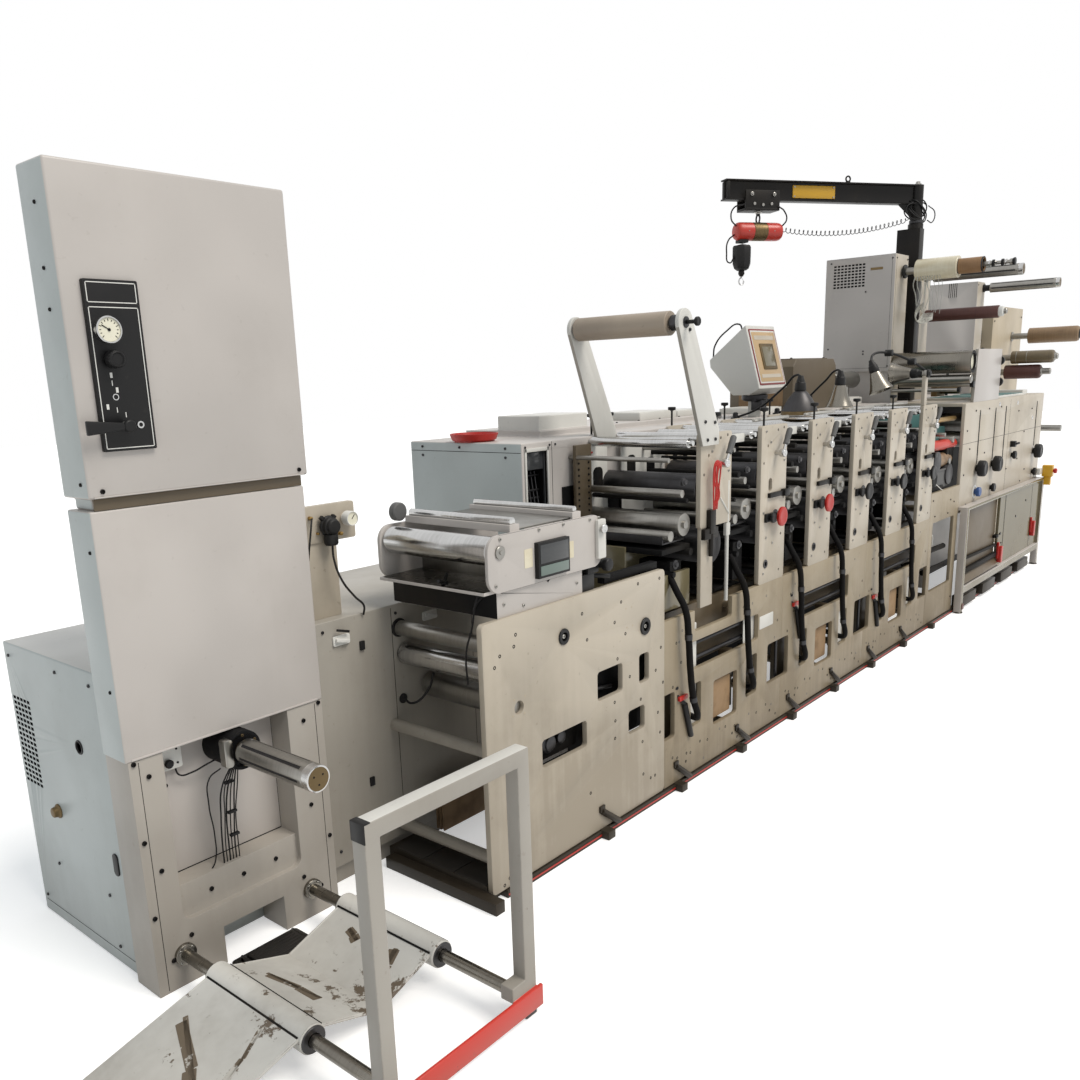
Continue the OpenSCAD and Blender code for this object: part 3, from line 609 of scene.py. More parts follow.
def make_finishes(colours):
    """Every finish of the press, from its colours."""
    make_effects()
    enamel("cream_paint", colours.cream, 0.40, grime=0.55, floor=1.0)
    # cream darkened as painted shade for the low frames, with heavier grime
    enamel("shaded_cream", colours.shaded_cream, 0.40, grime=0.75, floor=1.0)
    enamel("light_grey_paint", colours.light_grey, 0.38, grime=0.22, floor=0.6)
    enamel("grey_paint", colours.blue_grey, 0.40, grime=0.26, floor=0.3)
    enamel("white_paint", colours.white, 0.36, grime=0.24, floor=0.2)
    enamel("loader_white", colours.white, 0.40, grime=0.62, floor=0.10, chips=0.56, wear=0.7,
           under=tone(98, 86, 72))
    enamel("beige_paint", colours.beige, 0.45, grime=0.3)
    enamel("black_paint", tone(17, 15, 14), 0.42, grime=0.2, wear=0.4, under=tone(70, 64, 58), sheen=0.22)
    enamel("red_paint", colours.red, 0.34, grime=0.3, floor=0.08, chips=0.34, wear=0.6,
           under=tone(60, 44, 38))
    enamel("taupe_paint", tone(92, 80, 62), 0.45, grime=0.3)
    enamel("olive_pane", tone(112, 104, 80), 0.18, grime=0.5, floor=0.7)
    enamel("teal_paint", tone(74, 118, 116), 0.40, grime=0.4)
    enamel("yellow_paint", tone(214, 164, 38), 0.36, grime=0.15)
    enamel("torn_tape", tone(96, 84, 70), 0.6, grime=0.5, chips=0.8, under=tone(186, 182, 174))
    enamel("maroon_line", tone(128, 44, 42), 0.45, grime=0.05)
    enamel("tan_face", tone(190, 160, 118), 0.35, grime=0.1)
    # grey darkened as painted shade, on the low panel, the left faces of the idler arms and the roller
    # bracket's sides
    enamel("panel_grey", tone(166, 161, 152), 0.40, grime=0.4, floor=1.0)
    enamel("frame_grey", tone(170, 164, 156), 0.40, grime=0.3, floor=0.8)
    # the handle frame's white darkened as painted shade, with chips and worn edges
    enamel("shaded_post_white", tone(158, 153, 145), 0.42, grime=0.4, chips=0.24, wear=0.6, under=tone(96, 88, 78))
    enamel("inner_black", tone(18, 18, 19), 0.60, grime=0.2, floor=0.01, sheen=0.12)
    bare_metal("steel", tone(156, 154, 149), 0.24, smears=0.7)
    bare_metal("chrome", tone(198, 198, 197), 0.10, smears=0.5, marks=0.10)
    bare_metal("aluminium", tone(186, 184, 178), 0.30, smears=0.6, marks=0.3)
    bare_metal("dark_steel", tone(70, 70, 72), 0.34, smears=0.9)
    bare_metal("lamp_metal", tone(128, 124, 116), 0.16, smears=0.9)
    bare_metal("brass", tone(168, 138, 84), 0.30, smears=0.6)
    bare_metal("bronze", tone(112, 96, 70), 0.34, smears=0.8)
    moulded("black_plastic", tone(20, 20, 21), 0.42, dust=0.15, sheen=0.3)
    moulded("grey_grip", tone(88, 88, 88), 0.55, dust=0.3)
    moulded("rubber", tone(24, 24, 25), 0.55, dust=0.3, sheen=0.25)
    moulded("hose_rubber", tone(16, 15, 15), 0.7, dust=0.2, sheen=0.12)
    moulded("buff_cover", tone(164, 150, 134), 0.42, dust=0.5)
    moulded("red_plastic", tone(176, 34, 26), 0.36, dust=0.1)
    moulded("white_plastic", tone(226, 225, 220), 0.40, dust=0.1)
    moulded("dial_white", tone(232, 228, 208), 0.30, dust=0.05)
    moulded("screen_grey", tone(108, 122, 116), 0.16, dust=0.1)
    moulded("pane_grey", tone(62, 64, 66), 0.10, dust=0.15)
    moulded("blue_plastic", tone(52, 84, 140), 0.4)
    wound("core_board", tone(152, 118, 84), tone(112, 82, 54), 0.62)
    wound("kraft", tone(142, 116, 86), tone(98, 76, 54), 0.5, coat=0.1)
    wound("brown_wrap", tone(112, 98, 72), tone(66, 54, 38), 0.35, coat=0.2)
    wound("cream_film", tone(222, 214, 190), tone(196, 180, 144), 0.26, coat=0.35)
    wound("dark_red_film", tone(86, 48, 42), tone(58, 34, 30), 0.5)
    wound("brown_board", tone(150, 122, 90), tone(104, 82, 58), 0.7)
    w, shader = blank_finish("clear_film", Roughness=0.12, IOR=1.4)
    waves = w.noise(stretched(w, 30, 30, 9), 1.0, 4.0)
    w.link(w.mix(waves, tone(226, 226, 220), tone(190, 188, 178)), shader["Base Color"])
    w.link(w.ramp(waves, 0.3, 0.7, 0.35, 0.75), shader["Alpha"])
    bump(w, waves, 0.5, 0.004, shader)


# ---- Sizes and colours ----


def colour_choice(name, description, default):
    """A colour that a user may change."""
    return bpy.props.FloatVectorProperty(name=name, description=description, subtype="COLOR", size=3,
                                         min=0.0, max=1.0, default=default)


def size_choice(name, description, default):
    """A size in metres that a user may change."""
    return bpy.props.FloatProperty(name=name, description=description, default=default, min=0.0,
            unit="LENGTH",
                                   subtype="DISTANCE")


class PressColours(bpy.types.PropertyGroup):
    """Enamel colours of the press."""

    cream: colour_choice("Cream", "Side plates and station plates", tone(190, 180, 164))
    light_grey: colour_choice("Light grey", "Tower covers and gear side housing", tone(190, 184, 179))
    # cream darkened as painted shade, for the base frames and die frame near the floor
    shaded_cream: colour_choice("Low cream", "Base frames and die frame near the floor", tone(168, 154, 130))
    # blue grey is the side cabinet's paint; on the left faces of the tower covers and of the housing it is
    # painted shade
    blue_grey: colour_choice("Blue grey", "Side cabinet and the sides of the tower covers",
            tone(180, 187, 186))
    white: colour_choice("White", "Web guide, loader and stand", tone(212, 210, 204))
    beige: colour_choice("Beige", "Rewind tower and drive box", tone(186, 172, 148))
    red: colour_choice("Red", "Handle bar, hoist and die bar", tone(196, 52, 40))


class PressSizes(bpy.types.PropertyGroup):
    """Sizes of the fittings that repeat over the press."""

    screw_head: size_choice("Screw head", "Diameter of the socket head screws", 0.013)
    shaft_groove: size_choice("Shaft groove", "Width of the grooves along an air shaft", 0.009)
    hose: size_choice("Air hose", "Diameter of the thin air hoses and wires", 0.007)
    key_width: bpy.props.FloatProperty(name="Key light width", description="Angle that the key light spans",
                                       default=math.radians(30), min=0.0, unit="ROTATION", subtype="ANGLE")


def chosen_size(name):
    """One of the sizes that a user may change, in millimetres."""
    return getattr(bpy.context.scene.press_sizes, name) / MM


def screws(places, way=FRONT, scale=1.0):
    """Socket head screws of the press's own size."""
    d = chosen_size("screw_head") * scale
    return bolt_heads(places, way, d, d * 0.38)


def slots(x, y0, z0, across, up, count_across, count_up, gap_across, gap_up, depth=6):
    """Cutters for a grille of short slots on a face that looks along X."""
    places = [(y0 + i * (across + gap_across), z0 + j * (up + gap_up)) for i in range(count_across)
              for j in range(count_up)]
    return [block(x - 2, y, z, x + depth, y + across, z + up) for y, z in places]


def air_shaft(node, centre, free_y, end_y):
    """Air shaft with grooves along it, a bright collar and a bronze end cap, towards the operator."""
    x, z = centre
    diameter, groove = SHAFT_DIAMETER, chosen_size("shaft_groove")
    r = diameter / 2
    barrel = turned((x, free_y + 26, z), BACK, [(0, diameter - 3), (2, diameter),
            (end_y - free_y - 28, diameter),
                                               (end_y - free_y - 26, diameter - 3)], 48)
    channels = []
    for k in range(6):
        a = math.radians(60 * k + 20)
        channel = block(x - groove / 2, free_y + 44, z + r - 2.5, x + groove / 2, end_y - 14, z + r + 3)
        channels.append(turn(channel, math.degrees(a), "Y", (x, 0, z)))
    cut(settle(barrel), channels)
    made = piece(node + "_barrel", [barrel], "steel", 0.3, node, (node,))
    touch_up(made, "dark_steel", lambda c, n: free_y + 40 < c.y < end_y - 10 and near(c, centre, r - 1.2))
    collar = turned((x, free_y, z), BACK, [(1, diameter - 5), (2, diameter), (26, diameter + 0.5),
            (27, diameter - 6)], 48)
    piece(node + "_collar", [collar], "chrome", 0, node)
    cap = turned((x, free_y + 2, z), FRONT, [(-1, diameter - 8), (1.4, diameter - 9), (1.7, diameter - 14)],
                 40)
    dots = [rod((x + dx, free_y + 1.5, z + dz), (x + dx, free_y, z + dz), 6, 12) for dx,
            dz in ((-14, 9), (14, 9), (0, -16))]
    piece(node + "_end_cap", [cap], "bronze", 0, node)
    piece(node + "_end_dots", dots, "inner_black", 0, node)


class PRESS_OT_finishes(bpy.types.Operator):
    """Mixes the enamel, metal, plastic and paper finishes"""

    bl_idname = "press.finishes"
    bl_label = "Mix the finishes"

    def execute(self, context):
        make_finishes(context.scene.press_colours)
        return {"FINISHED"}


def unwind_control_panel():
    """The black panel on the upper cover: gauge, knobs and white lines."""
    y = span("control_panel")[0].y + 34
    plate_part = plate(48, y, 1464, 181, y + 12, 1855, 4)
    piece("control_plate", [plate_part], "black_plastic", 0.8, replaces=("control_panel",))
    lines = []
    for x0, z0, x1, z1 in ((54, 1470, 175, 1794), (54, 1803, 175, 1849)):
        for a in ((x0, z0, x1, z0 + 2), (x0, z1 - 2, x1, z1), (x0, z0, x0 + 2, z1), (x1 - 2, z0, x1, z1)):
            lines.append(block(a[0], y - 0.6, a[1], a[2], y + 0.4, a[3]))
    for k, (x, z) in enumerate(((88, 1640), (88, 1622), (98, 1606), (92, 1560), (70, 1568), (112, 1548))):
        lines.append(block(x - (1 if k % 2 else 3), y - 0.6, z - 6, x + (1 if k % 2 else 3), y + 0.4,
                z + 6))
    piece("control_lines", lines, "white_plastic", 0)
    rings = washers([(92, y, 1590)], FRONT, 16, 11, 2) + washers([(145, y, 1523)], FRONT, 18, 10, 3)
    piece("control_rings", rings, "chrome", 0)
    gauge = (88, 1742)
    bezel = turned(on(gauge, y), FRONT, [(0, 60), (18, 60), (21, 62), (22, 60), (22, 55), (18, 53)], 48)
    piece("gauge_bezel", [bezel], "chrome", 0)
    piece("gauge_face", [turned(on(gauge, y - 17.5), FRONT, [(0, 54), (1, 53)], 48)], "dial_white", 0)
    marks = []
    for k in range(13):
        mark = block(87.3, y - 19.2, 1761, 88.7, y - 18.4, 1765 if k % 3 else 1767)
        marks.append(turn(mark, -135 + k * 22.5, "Y", on(gauge, 0)))
    needle = turn(block(87, y - 20, 1738, 89, y - 19.2, 1762), -58, "Y", on(gauge, 0))
    hub = rod(on(gauge, y - 18), on(gauge, y - 20.5), 7, 16)
    piece("gauge_marks", marks + [needle, hub], "inner_black", 0)
    grip = turned((93, y, 1676), FRONT, [(0, 30), (6, 30), (8, 40), (12, 42), (30, 40), (33, 36), (34, 30),
            (31, 26)], 24)
    ribs = []
    for k in range(16):
        a = math.radians(22.5 * k)
        ribs.append(rod((93 + 20 * math.cos(a), y - 10, 1676 + 20 * math.sin(a)),
                        (93 + 19.2 * math.cos(a), y - 31, 1676 + 19.2 * math.sin(a)), 3.2, 8))
    post = turned((106, y, 1522), FRONT, [(0, 22), (3, 22), (4, 18), (16, 18)], 24)
    piece("control_knob", [grip, post] + ribs, "black_plastic", 0)


def unwind_lever():
    """The lever below the gauge, which turns with its hub."""
    low, high = span("panel_lever")
    hub = turned((106, high.y, 1522), FRONT, [(0, 29), (10, 30), (13, 28), (13.5, 22), (12.5, 10)], 32)
    arm = settle(block(1, low.y + 1, 1505, 92, high.y - 1, 1539))
    for vertex in arm.data.vertices:
        if (vertex.co - ZERO).x / MM > 60:
            vertex.co.z = at(0, 0, 1522).z + (vertex.co.z - at(0, 0, 1522).z) * 0.5
    piece("panel_lever_grip", [hub, arm], "black_plastic", 3.0, "panel_lever", replaces=("panel_lever",))


class PRESS_OT_unwind_tower(bpy.types.Operator):
    """Builds the unwind tower: its covers, control panel, lever, hub, air shaft and sensor"""

    bl_idname = "press.unwind_tower"
    bl_label = "Unwind tower"

    def execute(self, context):
        high = span("unwind_frame")[1]
        face = 408.0
        skin = softened("unwind_frame", "frame_grey", 3.0, segments=3)
        # the bore around the hub is painted black as painted shade
        touch_up(skin, "inner_black", lambda c, n: near(c, HUB, 58) and c.y < 497)
        front = [(60, 630), (60, 360), (550, 365), (550, 635), (24, 675), (24, 455), (24, 235), (608, 675),
                 (608, 240), (120, 140), (500, 145), (60, 90), (560, 90)]
        bar = [(205, 235), (310, 235), (420, 235)]
        heads = screws([(x, face, z) for x, z in front])
        heads += screws([(x, 426, z) for x, z in bar])
        heads += screws([(145, 496, 550)])
        piece("tower_screws", heads, "inner_black", 0)
        # seams where the front corner posts meet the frame
        seams = [block(36.5, face - 0.6, 8, 38, face + 1, high.z - 6),
                 block(594, face - 0.6, 8, 595.5, face + 1, high.z - 6)]
        piece("tower_seams", seams, "inner_black", 0)
        piece("tower_pocket_back", [block(108, 494, 290, 494, 495.8, 680)], "light_grey_paint", 0.5)
        hub = turned(on(HUB, 374), BACK, [(0, 96), (4, 110), (26, 110), (30, 104), (34, 104), (120, 104)],
                     48)
        bolts = bolt_circle(HUB, 376, 43, range(30, 390, 60))
        ear = plate(262, 372, 588, 288, 398, 668, 8)
        piece("shaft_hub", [hub] + bolt_heads(bolts, FRONT, 9, 4), "bronze", 0.8)
        piece("shaft_hub_ear", [ear], "steel", 0.8)
        # sensor box beside the hub, with its knob and cable
        piece("edge_sensor_box", [plate(130, 470, 600, 190, 496, 670, 5)], "white_plastic", 1.2)
        eye = knob((146, 470, 622), FRONT, 24, 16)
        piece("edge_sensor_knob", [eye] + bolt_heads([(176, 470, 655), (176, 470, 615)], FRONT, 6, 3),
              "black_plastic", 0)
        wires = []
        for k in range(6):
            x = 262 + k * 10
            wires.append(wire([(300 + 4 * k, 402 + k, 588), (x + 6, 418, 520),
                    (x + 3 * math.sin(k * 2.1), 430, 430),
                               (x - 2, 436, 340), (x, 440, 284)], 3.4 if k % 2 else 4.6))
        wires.append(wire([(168, 474, 603), (176, 470, 578), (212, 466, 574), (250, 452, 588),
                (278, 430, 604)], 5))
        wires.append(wire([(262, 402, 584), (236, 420, 560), (232, 434, 480), (242, 440, 380),
                (234, 440, 300), (222, 440, 284)], 4))
        piece("tower_wires", wires, "rubber", 0)
        clips = [block(284, 424, z, 312, 436, z + 8) for z in (520, 430, 360)]
        piece("wire_clips", clips, "black_plastic", 1.5)

        for node, width in (("unwind_lower_cover", 5.0), ("unwind_upper_cover", 7.0)):
            skin = softened(node, "light_grey_paint", width, segments=3)
            # the left faces of the covers take the blue grey as painted shade
            touch_up(skin, "grey_paint", lambda c, n: n.x < -0.9)
        cover = screws([(35, 394, 1372), (604, 394, 1372)], scale=0.9)
        side = screws([(3, 432, 870), (3, 432, 1225), (0, 424, 1390), (0, 452, 1790), (0, 452, 1880),
                       (0, 452, 2020)], LEFT, 0.7)
        piece("cover_screws", cover + side, "inner_black", 0)
        # folded lips of the covers
        lips = [block(20, 404, 684, 606, 408, 690), block(14, 392, 1356.5, 620, 396, 1360)]
        piece("cover_lips", lips, "light_grey_paint", 1.0)
        # a dark taupe strip fills the gap between the covers as painted shade of the recess
        piece("cover_gap", [block(16, 407, 1326, 618, 412, 1354)], "taupe_paint", 0.4)
        unwind_control_panel()
        unwind_lever()
        air_shaft("unwind_shaft", HUB, 40, 360)
        neck = turned(on(HUB, 360), BACK, [(0, 46), (12, 46), (13, 50), (16, 50), (17, 46), (48, 46)], 40)
        piece("unwind_shaft_neck", [neck], "dark_steel", 0, "unwind_shaft")
        return {"FINISHED"}


class PRESS_OT_side_cabinet(bpy.types.Operator):
    """Builds the low cabinet behind the unwind tower, with its grille, round knob and hatch"""

    bl_idname = "press.side_cabinet"
    bl_label = "Side cabinet"

    def execute(self, context):
        low, high = span("side_cabinet")
        grille = slots(low.x, 1012, 448, 18, 10, 5, 17, 5.5, 6.6, 7)
        holes = [rod((low.x - 2, 715, 650), (low.x + 14, 715, 650), 34)]
        skin = softened("side_cabinet", "grey_paint", 6.0, grille + holes, segments=3)
        # top faces painted white as painted light on the tops
        touch_up(skin, "white_paint", lambda c, n: n.z > 0.9)
        # the walls inside the grille slots and the round hole are painted black as painted shade
        touch_up(skin, "inner_black", lambda c, n: low.x + 0.8 < c.x < low.x + 20 and 560 < c.y < 1125
                 and 300 < c.z < 760)
        seams = [block(low.x - 0.5, 554, 40, low.x + 1, 555.5, 870),
                 block(low.x - 0.5, 554, 40, low.x + 1, high.y - 20, 41.5)]
        piece("cabinet_seams", seams, "inner_black", 0)
        ring = washers([(low.x, 715, 650)], LEFT, 42, 33, 3)
        latch = turned((low.x, 922, 400), LEFT, [(0, 44), (3, 44), (5, 40), (7, 34), (18, 30), (20, 26)],
                       32)
        piece("cabinet_knob", [latch], "bronze", 0.5)
        hatch = plate(low.x - 4, 576, 300, low.x + 2, 604, 366, 12, "X")
        piece("cabinet_hatch", [hatch] + ring, "black_plastic", 1.0)
        heads = screws([(low.x, y, z) for y, z in ((600, 850), (1110, 850), (640, 60), (1110, 60),
                (800, 852), (980, 210), (660, 215))], LEFT, 0.8)
        piece("cabinet_screws", heads, "dark_steel", 0)
        back = screws([(120, high.y, 800), (580, high.y, 800), (120, high.y, 90), (580, high.y, 90)], BACK)
        door = plate(90, high.y - 2, 60, 610, high.y + 3, 840, 10)
        piece("cabinet_back_door", [door], "grey_paint", 1.0)
        piece("cabinet_back_screws", back, "dark_steel", 0)
        return {"FINISHED"}


def loader_pedal():
    """The foot pedal on the floor behind the cradle."""
    low, high = span("floor_pedal")
    base = plate(low.x, low.y, 0, high.x, high.y, 10, 14, "Z")
    treadle = settle(block(low.x + 34, low.y + 36, 10, high.x - 34, high.y - 36, 33))
    ribs = [block(low.x + 42, low.y + y, 32, high.x - 42, low.y + y + 6, 34) for y in range(44, 150, 14)]
    hinge = [rod((low.x + 22, high.y - 30, 18), (high.x - 22, high.y - 30, 18), 14)]
    sides = [block(x, low.y + 30, 8, x + 7, high.y - 22, 28) for x in (low.x + 22, high.x - 29)]
    piece("floor_pedal_body", [base, treadle] + ribs + hinge + sides, "black_plastic", 1.5,
          replaces=("floor_pedal",))


class PRESS_OT_roll_loader(bpy.types.Operator):
    """Builds the roll loader: guide rods, sliding cradle, push frame and floor pedal"""

    bl_idname = "press.roll_loader"
    bl_label = "Roll loader"

    def execute(self, context):
        rods, collars, holes = [], [], []
        for centre in LOADER_RODS:
            rods.append(turned(on(centre, -392), BACK, [(0, 31), (2, 34), (798, 34), (800, 33)], 32))
            collars.append(turned(on(centre, 408), FRONT, [(0, 62), (10, 62), (12, 60), (13, 46), (16, 45),
                    (16, 36)], 40))
            holes += bolt_circle(centre, 397, 24, (45, 135, 225, 315))
        piece("loader_rods", rods, "lamp_metal", 0, replaces=("guide_rods",))
        piece("loader_flanges", collars, "lamp_metal", 0.6)
        piece("loader_flange_screws", bolt_heads(holes, FRONT, 8, 3), "steel", 0)
        cradle = softened("roll_cradle", "loader_white", 2.0)
        touch_up(cradle, "steel", lambda c, n: abs(n.y) > 0.9 and (c.y < -161 or c.y > 247) and c.z > 60)
        # sleeves on the rods, with black lines painted as the shade where the sheet meets them
        sleeves, shade_lines = [], []
        for centre in LOADER_RODS:
            sleeves.append(turned(on(centre, -162), BACK, [(0, 70), (3, 76), (407, 76), (410, 70),
                    (410, 40)], 40))
            for x in (centre[0] - 34, centre[0] + 34):
                shade_lines.append(rod((x, -150, 112.5), (x, 236, 112.5), 6, 8))
        piece("cradle_sleeves", sleeves, "loader_white", 0, "roll_cradle")
        piece("cradle_sleeve_shade_lines", shade_lines, "inner_black", 0, "roll_cradle")
        # torn strips of old tape on the ramp, the middle and a sleeve
        torn = []
        for x, y, z, length, width, swing, slope in ((-112, 40, 68, 300, 34, 62, -14.6),
                (-30, -70, 89, 150, 14, 20, -14.6),
                                                     (200, 60, 85.7, 190, 30, 100,
                                                      19.1), (420, -60, 86.6, 90, 40, 15, -19.0),
                                                     (440, 110, 93.5, 60, 30, 70, -19.0)):
            for share, off, twist in ((1.0, 0, 0), (0.55, 0.18, 5), (0.4, -0.3, -7)):
                half, side = length * share / 2, width * (1.4 - share) / 2
                middle = x + length * off
                strip = plate(middle - half, y - side, z - 1, middle + half, y + side, z + 0.5, 2.5, "Z")
                torn.append(turn(turn(strip, swing + twist, "Z", (x, y, z)), slope, "Y", (x, y, z)))
        piece("cradle_torn_tape", torn, "torn_tape", 0, "roll_cradle")
        # welded lips and a stiffening rib under the deck
        lips = []
        for y in (-152, 230):
            lips.append(rod((-318, y + 4, 10), (84, y + 4, 116), 7, 12))
            lips.append(rod((104, y + 4, 116), (309, y + 4, 46), 7, 12))
            lips.append(rod((309, y + 4, 46), (514, y + 4, 116), 7, 12))
        lips.append(rod((-322, -150, 8.5), (-322, 236, 8.5), 7, 12))
        piece("cradle_lips", lips, "loader_white", 0, "roll_cradle")
        ends = washers([on(centre, -162) for centre in LOADER_RODS], FRONT, 69, 37, 4)
        ends += washers([on(centre, 248) for centre in LOADER_RODS], BACK, 69, 37, 4)
        piece("cradle_sleeve_rings", ends, "dark_steel", 0, "roll_cradle")
        # the white frame is painted a greyed white as painted shade; its upper top faces get full white as
        # painted light
        frame_skin = softened("handle_frame", "shaded_post_white", 3.0, segments=3)
        touch_up(frame_skin, "white_paint", lambda c, n: n.z > 0.9 and c.z > 700)
        touch_up(frame_skin, "red_paint", lambda c, n: c.y < -433.9 and c.z < 81)
        touch_up(frame_skin, "dark_steel", lambda c, n: c.z < 21 and c.y > -434)
        low_cap = plate(76.5, -434.8, 690.5, 80, -391.2, 735.5, 1, "X")
        piece("handle_end_cap", [low_cap, block(78, -435, 733, 96, -391, 736)], "black_plastic", 1.0)
        piece("handle_bar_screws", bolt_heads([(90, -440.8, 50), (584, -440.8, 50)], FRONT, 11, 3),
              "red_paint", 0)
        loader_pedal()
        return {"FINISHED"}


def gear_low_panel():
    """The low panel beside the unwind tower."""
    # panel grey is the panel's grey paint darkened as painted shade
    softened("gear_side_panel", "panel_grey", 3.0, segments=3)
    heads = [(700, 480, 860), (700, 480, 120), (1000, 480, 860), (1000, 480, 120), (1340, 480, 860),
             (1640, 480, 860)]
    piece("low_panel_screws", screws(heads, scale=0.8), "dark_steel", 0)
    handles = []
    for x in (735, 1120):
        handles.append(plate(x, 474, 806, x + 66, 480, 838, 6))
        handles.append(turn(plate(x + 6, 464, 816, x + 58, 474, 828, 4), 14, "Y", (x + 30, 470, 822)))
    piece("low_panel_latches", handles, "white_plastic", 1.0)
    bars = [turn(block(742, 460, 850, 792, 466, 858), 16, "Y", (766, 463, 854))]
    bars += [block(840, 472, 770, 858, 480, 800), block(840, 472, 300, 858, 480, 330)]
    piece("low_panel_bars", bars, "black_plastic", 1.5)
    seams = [block(980, 479.3, 90, 981.6, 481, 880), block(1360, 479.3, 90, 1361.6, 481, 880)]
    piece("low_panel_seams", seams, "inner_black", 0)


def gear_regulators():
    """The air regulators above the low panel."""
    plates = [plate(696, 524, 890, 816, 538, 1130, 6), plate(696, 518, 1130, 891, 538, 1245, 8)]
    piece("regulator_plates", plates, "cream_paint", 1.2, replaces=("air_regulators",))
    body = turned((774, 519, 1180), FRONT, [(0, 44), (14, 44), (16, 66), (20, 66), (24, 56), (36, 56),
            (38, 48), (47, 46), (51, 38)], 24)
    bowl = turned((774, 494, 1158), DOWN, [(0, 36), (4, 44), (30, 44), (36, 38), (38, 20)], 28)
    ears = [turn(block(768, 496, 1206, 780, 510, 1220), a, "Y", (774, 500, 1180)) for a in (40, -40, 130)]
    piece("regulator_body", [body, bowl] + ears, "black_plastic", 0.8)
    bezel = turned((851, 518, 1195), FRONT, [(0, 30), (10, 30), (12, 46), (38, 46), (41, 44), (41, 40),
            (37, 39)], 36)
    piece("regulator_gauge", [bezel], "white_plastic", 0)
    face = turned((851, 481.5, 1195), FRONT, [(0, 39), (1, 38)], 36)
    needle = turn(block(850, 479.4, 1193, 852, 480.4, 1210), 40, "Y", (851, 480, 1195))
    piece("regulator_gauge_face", [face], "dial_white", 0)
    piece("regulator_gauge_needle", [needle], "black_plastic", 0)
    fittings = [rod((716, 518, 1210), (716, 506, 1210), 12), rod((822, 518, 1150), (822, 500, 1150), 12),
                rod((740, 518, 1160), (740, 508, 1160), 8)]
    piece("regulator_fittings", fittings, "brass", 0.6)
    hose = wire([(774, 490, 1124), (772, 486, 1080), (790, 478, 1010), (830, 470, 950), (860, 466, 915),
                 (862, 474, 885)], 7)
    other = wire([(716, 505, 1210), (700, 492, 1180), (690, 500, 1100), (686, 512, 1000), (690, 508, 905),
                  (690, 500, 880)], 6)
    piece("regulator_hoses", [hose, other], "rubber", 0)


def gear_housing():
    """The long housing with its window, deck covers and red dish."""
    window = [block(1693, 470, 1118, 1815, 560, 1330), block(2015, 470, 1102, 2099, 540, 1223)]
    skin = softened("gear_housing", "light_grey_paint", 5.0, window, segments=3)
    # the left faces at the front end take the blue grey as painted shade
    touch_up(skin, "grey_paint", lambda c, n: n.x < -0.9 and c.x < 1680)
    # the walls inside the two windows are painted black as painted shade
    touch_up(skin, "inner_black", lambda c, n: 482 < c.y < 562 and 1690 < c.x < 2102 and c.z > 1098)
    touch_up(skin, "white_paint", lambda c, n: c.x < 2360 and c.z > 1391)
    touch_up(skin, "inner_black", lambda c, n: c.z < 69)
    pane = [block(1700, 492, 1262, 1808, 496, 1326), block(1697, 486, 1118, 1701, 494, 1330),
            block(1808, 486, 1118, 1812, 494, 1330)]
    piece("housing_window_pane", pane, "pane_grey", 0.5)
    inside = [rod((1700, 520, z), (1812, 520, z), 9, 12) for z in (1150, 1180, 1238)]
    inside += [rod((1730 + 22 * k, 510, 1125), (1736 + 22 * k, 534, 1250), 7, 10) for k in range(4)]
    piece("housing_window_works", inside, "dark_steel", 0)
    frame_bits = [block(1684, 474, 1112, 1693, 480, 1345), block(1815, 474, 1112, 1824, 480, 1345),
                  block(1684, 474, 1331, 1824, 480, 1345), block(1684, 474, 1108, 1824, 480, 1117)]
    piece("housing_window_frame", frame_bits, "white_paint", 1.0)
    lines = [block(1848, 479.4, 900, 1850, 481, 1362), block(1669.4, 484, 1329, 1671, 1076, 1331)]
    lines += [block(x, 479.4, 1180, x + 2, 481, 1362) for x in (3640, 4640)]
    piece("housing_seams", lines, "inner_black", 0)
    side = screws([(1670, y, z) for y, z in ((1009, 1346), (1009, 1312), (560, 1346), (560, 1312),
            (800, 1346))], LEFT, 0.8)
    deck = screws([(x, 700, 1389) for x in range(2420, 3480, 180)], UP, 0.8)
    front = screws([(x, 480, z) for x in (1690, 1835, 1870, 2140) for z in (1000, 1350)], FRONT, 0.7)
    piece("housing_screws", side + deck + front, "dark_steel", 0)
    dish = turned((1735, 780, 1365), UP, [(0, 150), (8, 176), (26, 190), (32, 192), (32, 184), (10, 168),
            (9, 60)], 48)
    piece("red_dish", [dish], "red_plastic", 0)
    handle = wire([(2046, 478, 1301), (2046, 462, 1301), (2080, 458, 1302), (2084, 478, 1301)], 8)
    piece("housing_red_handle", [handle, block(2052, 472, 1285, 2078, 480, 1317)], "red_plastic", 0.8)
    trays = []
    for x0, y0, x1, y1, h in ((2790, 700, 3120, 930, 34), (3160, 720, 3440, 900, 26),
            (3900, 640, 4160, 900, 30), (4950, 620, 5300, 980, 44)):
        top = 1389 if x0 < 3500 else 1365
        trays.append(plate(x0, y0, top, x1, y1, top + h, 8, "Z"))
        trays.append(plate(x0 + 12, y0 + 12, top + h - 1, x1 - 12, y1 - 12, top + h + 3, 6, "Z"))
    piece("deck_covers", trays, "white_paint", 1.5)
    gear_station_backs()


